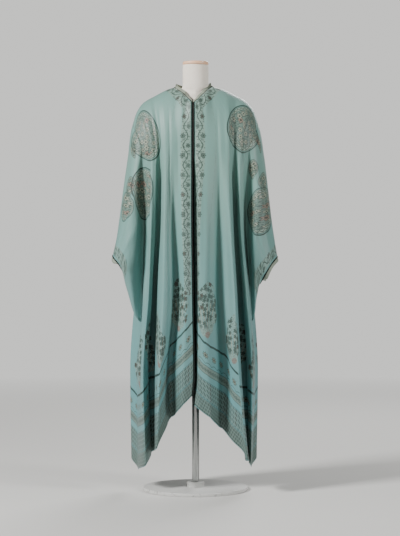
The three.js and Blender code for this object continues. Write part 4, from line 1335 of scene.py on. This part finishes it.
field_inputs = {"Vector": 0, "Pitch": 0.012, "Size": 0.005, "Petals": 6, "Scatter": 0.6}
field, net, given, finish_with = pattern("flower field", field_inputs, ("Ink", "Fill", "Pick"))
places = {"Vector": given["Vector"], "Scale": net.div(1.0, given["Pitch"]), "Randomness": given["Scatter"]}
cells = net.node("ShaderNodeTexVoronoi", places, voronoi_dimensions="2D", feature="F1")
middles = {0: given["Vector"], 1: cells.outputs["Position"]}
local = net.node("ShaderNodeVectorMath", middles, operation="SUBTRACT")
x, y = net.xy(local.outputs["Vector"])
pick, _ = net.xy(cells.outputs["Color"])
bloom = one_flower(net, x, y, net.mul(given["Size"], net.fit(pick, 0.4, 0.75)), given["Petals"])
finish_with(Ink=bloom["Ink"], Fill=bloom["Fill"], Pick=pick)


def flowers(net, vector, pitch, size, petals, scatter):
    sizes = {"Vector": vector, "Pitch": pitch, "Size": size, "Petals": petals, "Scatter": scatter}
    return net.use(field, sizes)


def leaves_over(net, vector, pitch, size):
    """Small two-lobed leaves, quite unordered."""
    return flowers(net, vector, pitch, size, 2.0, 1.0)["Fill"]


print("groups:", [group.name for group in bpy.data.node_groups])

# %% [markdown]
# ## Medallions
# A large rounded medallion with a double outline and a scalloped ring, filled with small flowers, is a
# common ornament on printed robes. The radius is taken in units of the outline, so that each ring is a
# band of that one number, level: 1 at the edge and 0 in the middle. Tip draws the lower end out to a
# point, and Lean and Slope turn the two axes, because cloth that falls away over a shoulder turns its
# pattern with it.

# %% Medallion
TIP_TURN = 0.4           # how far round from the lower end its tip reaches, in radians
SCALLOPS = 26
OUTLINE, SECOND, THIRD = (0.97, 0.026), (0.91, 0.01), (0.775, 0.01)    # a ring's middle, half width
LACE, LACE_RISE = (0.8, 0.015), 0.065    # the scalloped ring, and how far its scallops rise
PALE_RING = (0.78, 0.9)  # between these two levels the ground is pale
INNER = 0.765            # and inside this one the flowers are
RING_SOFT = 0.01
PRINT = ("Ink", "Fill", "Blush")         # the masks that every motif gives
MEDALLION_COLUMNS = ("Centre X", "Centre Y", "Half Width", "Half Height", "Tip", "Lean", "Slope")
medallion_inputs = {"Vector": 0, **dict(zip(MEDALLION_COLUMNS, (0, 0, 0.05, 0.08, 0.1, 0, 0)))}
medallion, net, given, finish_with = pattern("medallion", medallion_inputs, PRINT)
across, height = net.xy(given["Vector"])
aside = net.sub(across, given["Centre X"])
below = net.sub(given["Centre Y"], height)
x = net.div(net.sub(aside, net.mul(given["Lean"], below)), given["Half Width"])
y = net.div(net.fit(given["Slope"], aside, below), given["Half Height"])
angle = net.math("ARCTAN2", x, y)
from_tip = net.div(angle, TIP_TURN)
sharp = net.math("EXPONENT", net.mul(from_tip, from_tip, -1.0))
level = net.div(net.radius(x, y), net.fit(given["Tip"], sharp, 1.0))
lines = [net.near(level, *line, RING_SOFT) for line in (OUTLINE, SECOND, THIRD)]
scallop = net.add(LACE[0], net.mul(net.humps(angle, SCALLOPS / 2), LACE_RISE))
lines.append(net.near(level, scallop, LACE[1], RING_SOFT))
inner = net.under(level, INNER, RING_SOFT)
blooms = flowers(net, given["Vector"], 0.025, 0.0118, 6.0, 0.6)
leaves = leaves_over(net, given["Vector"], 0.0085, 0.0036)
between = net.sub(1.0, blooms["Fill"])
ground = net.union(net.mul(between, leaves, 0.8), net.mul(between, 0.42))
pale_ring = net.mul(net.between(level, *PALE_RING, RING_SOFT), 0.6)
finish_with(
    Ink=net.union(*lines, net.mul(inner, net.union(blooms["Ink"], ground))),
    Fill=net.union(pale_ring, net.mul(inner, net.fit(blooms["Fill"], 0.65, 0.35))),
    Blush=net.mul(inner, blooms["Fill"], net.under(0.84, blooms["Pick"], 0.02)),
)
print("medallion nodes", len(medallion.nodes))

# %% [markdown]
# ## The border vine
# A vine runs beside the front edges, round the neck and above the cuffs: an even sine stem with a
# flower in each of its bends, turn about, and small leaves between them. A number drawn from the sine
# of the bend picks the few red flowers.

# %% Border vine
vine_inputs = {"Vector": 0, "Centre": 0.021, "Period": 0.07, "Swing": 0.0085, "Reach": 0.017, "End": 0.69}
vine, net, given, finish_with = pattern("border vine", vine_inputs, PRINT)
across, along = net.xy(given["Vector"])
turn = net.sine(net.div(along, given["Period"]), 2 * math.pi)
stem = net.near(across, net.fit(turn, given["Swing"], given["Centre"]), 0.0015)
half = net.mul(given["Period"], 0.5)
bend = net.math("FLOOR", net.div(along, half))
bend_y = net.cell(along, half)
outer = net.math("FLOORED_MODULO", bend, 2.0)
bend_x = net.sub(across, given["Centre"], net.fit(outer, 0.021, -0.01))
size = net.fit(outer, 0.0014, 0.0078)
bloom = one_flower(net, bend_x, bend_y, size, 7.0)
leaves = leaves_over(net, net.join(across, along), 0.0095, 0.0036)
room = net.near(across, given["Centre"], given["Reach"])
leaf_ink = net.mul(leaves, net.sub(1.0, bloom["Fill"]), 0.62)
chance = net.math("FRACT", net.mul(net.sine(bend, 12.9898), 43.7585))
bloom_ink = net.union(bloom["Ink"], net.mul(bloom["Fill"], 0.62))
runs = net.under(along, given["End"])
finish_with(
    Ink=net.mul(runs, net.union(net.mul(room, net.union(stem, leaf_ink)), bloom_ink)),
    Fill=net.mul(runs, room, 0.35),
    Blush=net.mul(runs, bloom["Fill"], net.under(0.82, chance, 0.01), 0.8),
)
print("vine nodes", len(vine.nodes))

# %% [markdown]
# ## Flowering bushes
# Above the hem stands a row of bushes: a fan of pale stems rises from a small red root, inside the
# shape of a flame, and dark flowers fill its upper part. One bush is drawn, in a cell that repeats. Its
# flowers are on the level map, and Slope keeps its foot level where the hem climbs.

# %% Bush
bush_inputs = {"Vector": 0, "Level X": 0, "Level Y": 0, "Base Y": 0.3, "Height": 0.2}
bush_inputs.update({"Half Width": 0.052, "Pitch": 0.155, "Slope": 0})
bush, net, given, finish_with = pattern("bush", bush_inputs, PRINT)
across, up = net.xy(given["Vector"])
x = net.cell(across, given["Pitch"])
y = net.sub(up, given["Base Y"], net.mul(given["Slope"], x))
level = net.join(given["Level X"], given["Level Y"])
share = net.math("DIVIDE", y, given["Height"], clamp=True)
blooms = flowers(net, level, 0.019, 0.0086, 5.0, 0.8)
round_top = net.sine(net.math("POWER", share, 0.85), math.pi)
profile = net.math("POWER", net.math("MAXIMUM", round_top, 0.0), 0.62)
half = net.mul(given["Half Width"], profile, net.fit(blooms["Pick"], 0.4, 0.78))
inside = net.mul(net.under(net.math("ABSOLUTE", x), half, 0.002), net.under(0.0, y, 0.001))
fan = net.math("ARCTAN2", x, net.fit(given["Height"], 0.12, y))
stems = net.under(0.55, net.math("COSINE", net.mul(fan, 46.0)), 0.3)
low = net.under(share, 0.62, 0.2)
high = net.under(0.16, share, 0.1)
root = net.near(net.radius(x, net.sub(y, 0.008)), 0.0, 0.012, 0.002)
dark_blooms = net.mul(net.union(blooms["Ink"], net.mul(blooms["Fill"], 0.72)), high)
ink = net.union(dark_blooms, net.mul(leaves_over(net, level, 0.0075, 0.003), 0.3))
finish_with(
    Ink=net.mul(inside, ink),
    Fill=net.mul(inside, net.union(net.mul(stems, low), 0.3)),
    Blush=net.union(root, net.mul(inside, blooms["Fill"], net.under(0.9, blooms["Pick"], 0.02))),
)
print("bush nodes", len(bush.nodes))

# %% [markdown]
# ## Hem bands
# The lowest quarter of a metre carries bands of small block print, from the hem up: rows of upright
# strokes, rows of slanting leaves, a band of little flowers, a scalloped line under single flowers, and
# one dark line as thick as a rope over all of it.

# %% Hem bands
STROKE_CELL = (0.011, 0.0125)    # how far apart the strokes are, across and up
LEAF_CELL = (0.0145, 0.0165)
STROKE_ZONE, LEAF_ZONE, FLOWER_ZONE = (0.003, 0.055), (0.06, 0.125), (0.152, 0.183)
RAILS = (0.006, 0.0575, 0.1275, *FLOWER_ZONE)    # the thin lines that part the bands
SCALLOP_UP, SINGLE_UP, ROPE_UP = 0.19, 0.22, 0.263
SCALLOP = (0.03, 0.007)          # how wide and how high one scallop is
hem_bands, net, given, finish_with = pattern("hem bands", {"Vector": 0}, PRINT)
across, up = net.xy(given["Vector"])


def block(x, cell, half_width, half_height):
    """One small block print in every cell."""
    beside = net.near(net.cell(x, cell[0]), 0.0, half_width)
    return net.mul(beside, net.near(net.cell(up, cell[1]), 0.0, half_height))


row = net.math("FLOOR", net.div(up, STROKE_CELL[1]))
every_other = net.math("FLOORED_MODULO", row, 2.0)
stroke = block(net.add(across, net.mul(every_other, STROKE_CELL[0] / 2)), STROKE_CELL, 0.0032, 0.0042)
leaf = block(net.add(across, net.mul(net.cell(up, LEAF_CELL[1]), 0.7)), LEAF_CELL, 0.0038, 0.0058)
hem_zone, leaf_zone, flower_zone = (net.between(up, *zone) for zone in (STROKE_ZONE, LEAF_ZONE, FLOWER_ZONE))
little = one_flower(net, net.cell(across, 0.013), net.sub(up, sum(FLOWER_ZONE) / 2), 0.0058, 5.0)
single = one_flower(net, net.cell(across, 0.042), net.sub(up, SINGLE_UP), 0.0115, 8.0)
rail = net.union(*[net.near(up, height, 0.0008) for height in RAILS])
humps = net.mul(net.humps(across, math.pi / SCALLOP[0]), SCALLOP[1])
scallops = net.near(net.sub(up, humps), SCALLOP_UP, 0.001)
rope = net.near(net.sub(up, net.mul(humps, 0.2)), ROPE_UP, 0.0042)
finish_with(
    Ink=net.union(
        net.mul(hem_zone, net.fit(stroke, 0.36, 0.5)),
        net.mul(leaf_zone, net.fit(leaf, 0.5, 0.32)),
        net.mul(flower_zone, 0.36),
        little["Ink"],
        single["Ink"],
        net.mul(single["Fill"], 0.4),
        rail,
        scallops,
        rope,
    ),
    Fill=net.union(
        net.mul(hem_zone, 0.55),
        net.mul(leaf_zone, 0.4),
        net.mul(flower_zone, 0.6),
        single["Fill"],
    ),
    Blush=net.mul(leaf, leaf_zone, net.near(net.cell(across, 0.0525), 0.0, 0.006), 0.8),
)
print("hem band nodes", len(hem_bands.nodes))

# %% [markdown]
# ## Silk
# Plain-woven silk shows fine crossing threads, a few thicker slubs and a soft sheen. Weave and slubs
# drive a small bump. The tone varies a little over the cloth, as hand dyeing leaves it, and it is
# cooler towards the hem. The print lies on top as ink, pale fill and a little dull red.

# %% Silk weave and colours


def srgb(red, green, blue):
    """A colour given as it looks on a screen, made linear for the shader."""
    values = [c / 255 for c in (red, green, blue)]
    return tuple(c / 12.92 if c < 0.04045 else ((c + 0.055) / 1.055) ** 2.4 for c in values) + (1.0,)


SILK = srgb(113, 152, 143)
SILK_COOL = srgb(94, 144, 147)
SILK_FADED = srgb(128, 153, 142)
INK = srgb(33, 47, 40)
PALE_FILL = srgb(157, 151, 130)
DULL_RED = srgb(124, 88, 80)
COOL_FROM, COOL_OVER = 1.15, 0.8    # the height where the silk starts to get cooler, and how far on

weave, net, given, finish_with = pattern("silk weave", {"Vector": 0, "Threads": 1600.0}, ("Height", "Tone"))
across, up = net.xy(given["Vector"])
turn = net.mul(given["Threads"], 2 * math.pi)
threads = net.mul(net.sine(across, turn), net.sine(up, turn))
slubs = net.noise(net.join(net.mul(across, 45.0), net.mul(up, 900.0)), 1.0, 2.0)
cloudy = net.noise(given["Vector"], 7.0, 4.0)
crumple = net.noise(given["Vector"], 26.0, 3.0)
fine = net.add(net.mul(threads, 0.1), net.mul(slubs, 0.25))
finish_with(Height=net.add(fine, net.mul(crumple, 1.4)), Tone=cloudy)


def shader_of(material):
    material.use_nodes = True
    return Net(material.node_tree), material.node_tree.nodes["Principled BSDF"]


def silk_material(name, draw):
    """Silk with what draw(net, cloth) returns printed on it: ink, fill and blush masks."""
    material = bpy.data.materials.new(name)
    net, shader = shader_of(material)
    cloth = net.uv("cloth")
    woven = net.use(weave, {"Vector": cloth})
    _, _, height = net.xyz(net.place())
    low = net.math("DIVIDE", net.sub(COOL_FROM, height), COOL_OVER, clamp=True)
    ground = net.blend(low, SILK, SILK_COOL)
    patchy = net.fit(woven["Tone"], 2.4, -0.95, clamp=True)
    ground = net.blend(net.mul(patchy, 0.35), ground, SILK_FADED)
    ink, fill, blush = draw(net, cloth)
    worn = net.add(0.72, net.mul(woven["Tone"], 0.4))
    printed = net.blend(net.mul(fill, 0.62), ground, PALE_FILL)
    printed = net.blend(net.mul(blush, 0.6), printed, DULL_RED)
    printed = net.blend(net.mul(ink, worn), printed, INK)
    looks = {"Base Color": printed, "Roughness": 0.46, "Specular IOR Level": 0.4}
    looks.update({"Sheen Weight": 0.15, "Sheen Roughness": 0.4})
    net.finish(shader, looks, woven["Height"], 0.35, 0.0012)
    return material


print("silk groups:", len(bpy.data.node_groups))

# %% [markdown]
# ## Where the print goes
# A printer plans where each motif goes, and so does this table: how far across from the front edge and
# how high each medallion's middle is, in metres, on the "level" map. The sleeves carry the parts of the
# medallions that the armholes cut. The back has the same motifs, mirrored about its middle.

# %% Print places
LEFT_MEDALLIONS = table(
    MEDALLION_COLUMNS,
    (0.2, 1.283, 0.074, 0.089, 0.04, -0.106, 0.201),
    (0.274, 1.076, 0.06, 0.099, 0.06, 0.597, 0.113),
)
RIGHT_MEDALLIONS = table(
    MEDALLION_COLUMNS,
    (0.209, 1.313, 0.089, 0.08, 0.2, -0.102, 0.053),
)
LEFT_SMALL = table(
    MEDALLION_COLUMNS,
    (0.376, 1.033, 0.018, 0.05, 0.3, 0.62, 0.1),
    (0.319, 1.104, 0.014, 0.024, 0.3, 0.7, -0.33),
    (0.246, 1.233, 0.017, 0.026, 0.3, -0.084, -0.11),
)
RIGHT_SMALL = table(
    MEDALLION_COLUMNS,
    (0.404, 1.016, 0.052, 0.094, 0.16, 0.613, 0.252),
    (0.266, 1.275, 0.018, 0.042, 0.3, 0.2, -0.1),
    (0.27, 1.165, 0.018, 0.029, 0.3, 0.589, -0.133),
    (0.339, 1.123, 0.021, 0.034, 0.3, 0.74, 0.232),
)
BACK_INSET = 0.14        # how much further from the middle the back's armhole is than a front's
BUSH_FOOT = 0.292        # the height at which the bushes stand
CUFF_INSET = 0.004       # from the cuff's edge in to where its border starts


def merge(net, groups):
    """Ink, fill and blush of several motifs, each the strongest of them."""
    return tuple(net.union(*[group[key] for group in groups]) for key in PRINT)


def draw_panel(medallions, hem_slope, back=False):
    """What is printed on a front or the back: vine, medallions, bushes and hem bands."""

    def draw(net, cloth):
        across, up = net.xy(cloth)
        level = net.uv("level")
        _, height = net.xy(level)
        if back:
            across = net.math("ABSOLUTE", across)
            level = net.join(net.sub(across, BACK_INSET), height)
        mirrored = net.join(across, up)
        upright = {"Level X": across, "Level Y": height}
        groups = [net.use(vine, {"Vector": net.uv("border")})]
        groups += [net.use(medallion, {"Vector": level, **row}) for row in medallions]
        groups.append(net.use(bush, {"Vector": mirrored, "Base Y": BUSH_FOOT, "Slope": hem_slope, **upright}))
        groups.append(net.use(hem_bands, {"Vector": mirrored}))
        return merge(net, groups)

    return draw


def draw_sleeve(medallions):
    """What is printed on a sleeve: a vine beside the cuff, and medallions."""

    def draw(net, cloth):
        around, up = net.xy(cloth)
        groups = [net.use(vine, {"Vector": net.join(net.sub(up, CUFF_INSET), around)})]
        groups += [net.use(medallion, {"Vector": net.uv("level"), **row}) for row in medallions]
        return merge(net, groups)

    return draw


HEM_SLOPE = 0.8          # how fast the level hem climbs across the fronts' own map
SILKS = {
    "front_left": draw_panel(LEFT_MEDALLIONS, HEM_SLOPE),
    "front_right": draw_panel(RIGHT_MEDALLIONS, HEM_SLOPE),
    "back": draw_panel(LEFT_MEDALLIONS, 0.0, back=True),
    "sleeve_left": draw_sleeve(LEFT_MEDALLIONS + LEFT_SMALL),
    "sleeve_right": draw_sleeve(RIGHT_MEDALLIONS + RIGHT_SMALL),
}
for name, draw in SILKS.items():
    PIECES[name + "_silk"].data.materials.append(silk_material(f"printed silk {name}", draw))
print("printed silks", list(SILKS))

# %% [markdown]
# ## Cord, thread and band
# The cord is reeled silk, almost black green, and its strands show by fine threads that slant along it.
# The bands are the same silk as the robe, unprinted and a little paler.

# %% Cord, thread and band finishes


def thread_finish(material, colour, light, map_name, pitch):
    """Fine slanting threads in two tones, on the piece's own map or in its own space."""
    net, shader = shader_of(material)
    place = net.uv(map_name) if map_name else net.place()
    x, y = net.xy(place)
    slant = net.sine(net.fit(y, 2.2, x), 2 * math.pi / pitch)
    fuzz = net.noise(place, 900.0, 2.0)
    share = net.fit(slant, 0.25, net.mul(fuzz, 0.5), clamp=True)
    looks = {"Base Color": net.blend(share, colour, light), "Specular IOR Level": 0.25}
    looks["Roughness"] = net.fit(fuzz, 0.2, 0.5)
    net.finish(shader, looks, share, 0.5, 0.0002)


cord_silk = bpy.data.materials.new("twisted silk cord")
thread_finish(cord_silk, srgb(6, 13, 10), srgb(20, 32, 26), "along", 0.0012)
thread_finish(thread_dark, srgb(16, 28, 23), srgb(36, 50, 43), None, 0.0006)
thread_finish(thread_green, srgb(96, 124, 116), srgb(140, 164, 154), None, 0.0006)


def draw_band(net, cloth):
    """A plain band with one fine line of running stitches near its fold."""
    run, across = net.xy(cloth)
    stitch = net.mul(net.near(net.cell(run, 0.006), 0.0, 0.0017), net.near(across, 0.0105, 0.0004, 0.0003))
    return net.mul(stitch, 0.5), net.near(across, 0.006, 0.02), 0.0


band_silk = silk_material("plain silk band", draw_band)
for name, piece in PIECES.items():
    if name.startswith("cord"):
        piece.data.materials.append(cord_silk)
    if name.startswith("band"):
        piece.data.materials.append(band_silk)
print("materials", len(bpy.data.materials))

# %% [markdown]
# ## The form's finishes
# The cover is plain off-white cotton, whose weave is coarser than silk and whose threads vary. The
# cap is turned pale wood with its grain across it, the pole brushed steel, and the base painted steel
# whose paint is a little rubbed at the rim.

# %% Cotton, wood, steel and paint
FORM_SIZE = 0.12         # the torso's mean radius, which turns an angle round it into metres
COTTON_THREAD = 0.0012   # from one thread to the next
RIM = (0.1872, 0.2)      # how far from the pole the base's rim is


def piece_finish(piece, name):
    """A new material on a piece: its net, its shader, and where a point is on the piece."""
    material = bpy.data.materials.new(name)
    PIECES[piece].data.materials.append(material)
    net, shader = shader_of(material)
    return net, shader, net.place()


thread_turn = 2 * math.pi / COTTON_THREAD
net, shader, place = piece_finish("form_cover", "cotton cover")
x, y, z = net.xyz(place)
weft = net.sine(z, thread_turn)
warp = net.sine(net.mul(net.math("ARCTAN2", y, x), FORM_SIZE), thread_turn)
uneven = net.noise(place, 160.0, 3.0)
yellowed = net.fit(net.noise(place, 9.0, 3.0), 1.6, -0.4, clamp=True)
tone = net.blend(yellowed, srgb(250, 243, 231), srgb(240, 228, 211))
looks = {"Roughness": 0.85, "Sheen Weight": 0.15}
looks["Base Color"] = net.blend(net.mul(uneven, 0.3), tone, srgb(222, 208, 188))
net.finish(shader, looks, net.add(net.mul(weft, warp, 0.5), uneven), 0.4, 0.0004)

net, shader, place = piece_finish("form_wood_cap", "turned pale wood")
along_grain = net.stretch(place, (6.0, 1.0, 2.0))
wave = {"Vector": along_grain, "Scale": 14.0, "Distortion": 7.0, "Detail": 3.0}
bands = net.node("ShaderNodeTexWave", wave).outputs["Fac"]
pores = net.noise(along_grain, 260.0, 2.0)
grain = net.fit(bands, 0.6, net.mul(pores, 0.35), clamp=True)
looks = {"Base Color": net.blend(grain, srgb(250, 208, 172), srgb(222, 168, 130)), "Coat Weight": 0.25}
looks["Roughness"] = net.fit(pores, 0.2, 0.35)
net.finish(shader, looks, grain, 0.2, 0.0003)

net, shader, place = piece_finish("form_steel_pole", "brushed steel")
brushed = net.noise(net.stretch(place, (1.0, 1.0, 40.0)), 30.0, 4.0)
looks = {"Base Color": net.blend(brushed, srgb(168, 170, 170), srgb(204, 205, 203)), "Metallic": 1.0}
looks["Roughness"] = net.fit(brushed, 0.2, 0.24)
net.finish(shader, looks, brushed, 0.15, 0.0002)

net, shader, place = piece_finish("form_round_base", "painted steel base")
orange_peel = net.noise(place, 420.0, 2.0)
patches = net.noise(place, 60.0, 5.0)
at_rim = net.between(net.radius(*net.xy(place)), *RIM, 0.001)
rubbed = net.mul(at_rim, net.under(0.6, patches, 0.08))
tone = net.blend(net.mul(patches, 0.5), srgb(206, 206, 202), srgb(182, 183, 180))
looks = {"Base Color": net.blend(net.mul(rubbed, 0.5), tone, srgb(120, 120, 118)), "Coat Weight": 0.2}
looks["Roughness"] = net.fit(patches, 0.16, 0.3)
net.finish(shader, looks, orange_peel, 0.12, 0.0003)
print("pieces without a finish", [name for name, piece in PIECES.items() if not piece.data.materials])

# %% [markdown]
# ## Floor and light
# The floor is one wide pale disc that fades into the colour of the air around it, so that no edge
# shows from any side. One large soft lamp from the upper left makes the folds read, a weaker one from
# the right opens their shadows, a third from behind lights the edges, and the pale surroundings do the
# rest.

# %% Floor, lamps and surroundings
FLOOR_RADIUS = 40.0
FLOOR_SIDES = 96
FLOOR_FADE = (0.9, 4.5)  # where it starts to fade, and over how many metres
AIR = srgb(222, 222, 219)
AIR_SEEN = 1.2           # how bright the surroundings look
AIR_LIGHT = 0.09         # and how much they light: less, so that the folds keep their shadows


def surroundings(net, shader_out):
    """The pale air: bright to the eye, dimmer as a light."""
    seen = net.node("ShaderNodeLightPath").outputs["Is Camera Ray"]
    strength = net.fit(seen, AIR_SEEN - AIR_LIGHT, AIR_LIGHT)
    return net.node(shader_out, {"Color": AIR, "Strength": strength}).outputs[0]


floor_mesh = bpy.data.meshes.new("floor")
rim = ring(FLOOR_RADIUS, 0.0, FLOOR_SIDES)
floor_mesh.from_pydata(rim.tolist(), [], [tuple(range(FLOOR_SIDES))])
floor = bpy.data.objects.new("floor", floor_mesh)
bpy.context.scene.collection.objects.link(floor)

floor_paint = bpy.data.materials.new("pale studio floor")
net, shader = shader_of(floor_paint)
place = net.place()
far = net.math("DIVIDE", net.sub(net.radius(*net.xy(place)), FLOOR_FADE[0]), FLOOR_FADE[1], clamp=True)
dust = net.mul(net.noise(place, 3.0, 4.0), 0.2)
net.feed(shader.inputs["Base Color"], net.blend(dust, srgb(208, 207, 203), srgb(196, 195, 191)))
shader.inputs["Roughness"].default_value = 0.8
glow = surroundings(net, "ShaderNodeEmission")
mixed = net.node("ShaderNodeMixShader", {0: far, 1: shader.outputs["BSDF"], 2: glow})
net.feed(floor_paint.node_tree.nodes["Material Output"].inputs["Surface"], mixed.outputs["Shader"])
floor_mesh.materials.append(floor_paint)

world = bpy.data.worlds.new("pale studio")
bpy.context.scene.world = world
world.use_nodes = True
net = Net(world.node_tree)
sky = surroundings(net, "ShaderNodeBackground")
net.feed(world.node_tree.nodes["World Output"].inputs["Surface"], sky)

LAMP_COLUMNS = ("name", "place", "target", "size", "power")
LAMPS = table(
    LAMP_COLUMNS,
    ("key", (-3.4, -2.5, 3.4), (0, 0, 0.9), 1.0, 400),
    ("fill", (3.8, -2.2, 1.9), (0, 0, 0.8), 1.0, 120),
    ("back light", (1.2, 3.4, 2.8), (0, 0, 1.0), 1.6, 110),
)
for lamp in LAMPS:
    light = bpy.data.lights.new(lamp["name"], "AREA")
    light.size = lamp["size"]
    light.energy = lamp["power"]
    stand = bpy.data.objects.new(lamp["name"], light)
    away = unit(np.array(lamp["place"], float) - np.array(lamp["target"], float))
    stand.location = lamp["place"]
    stand.rotation_euler = (math.acos(away[2]), 0, math.atan2(away[1], away[0]) + math.pi / 2)
    bpy.context.scene.collection.objects.link(stand)
print("lamps", [lamp["name"] for lamp in LAMPS])
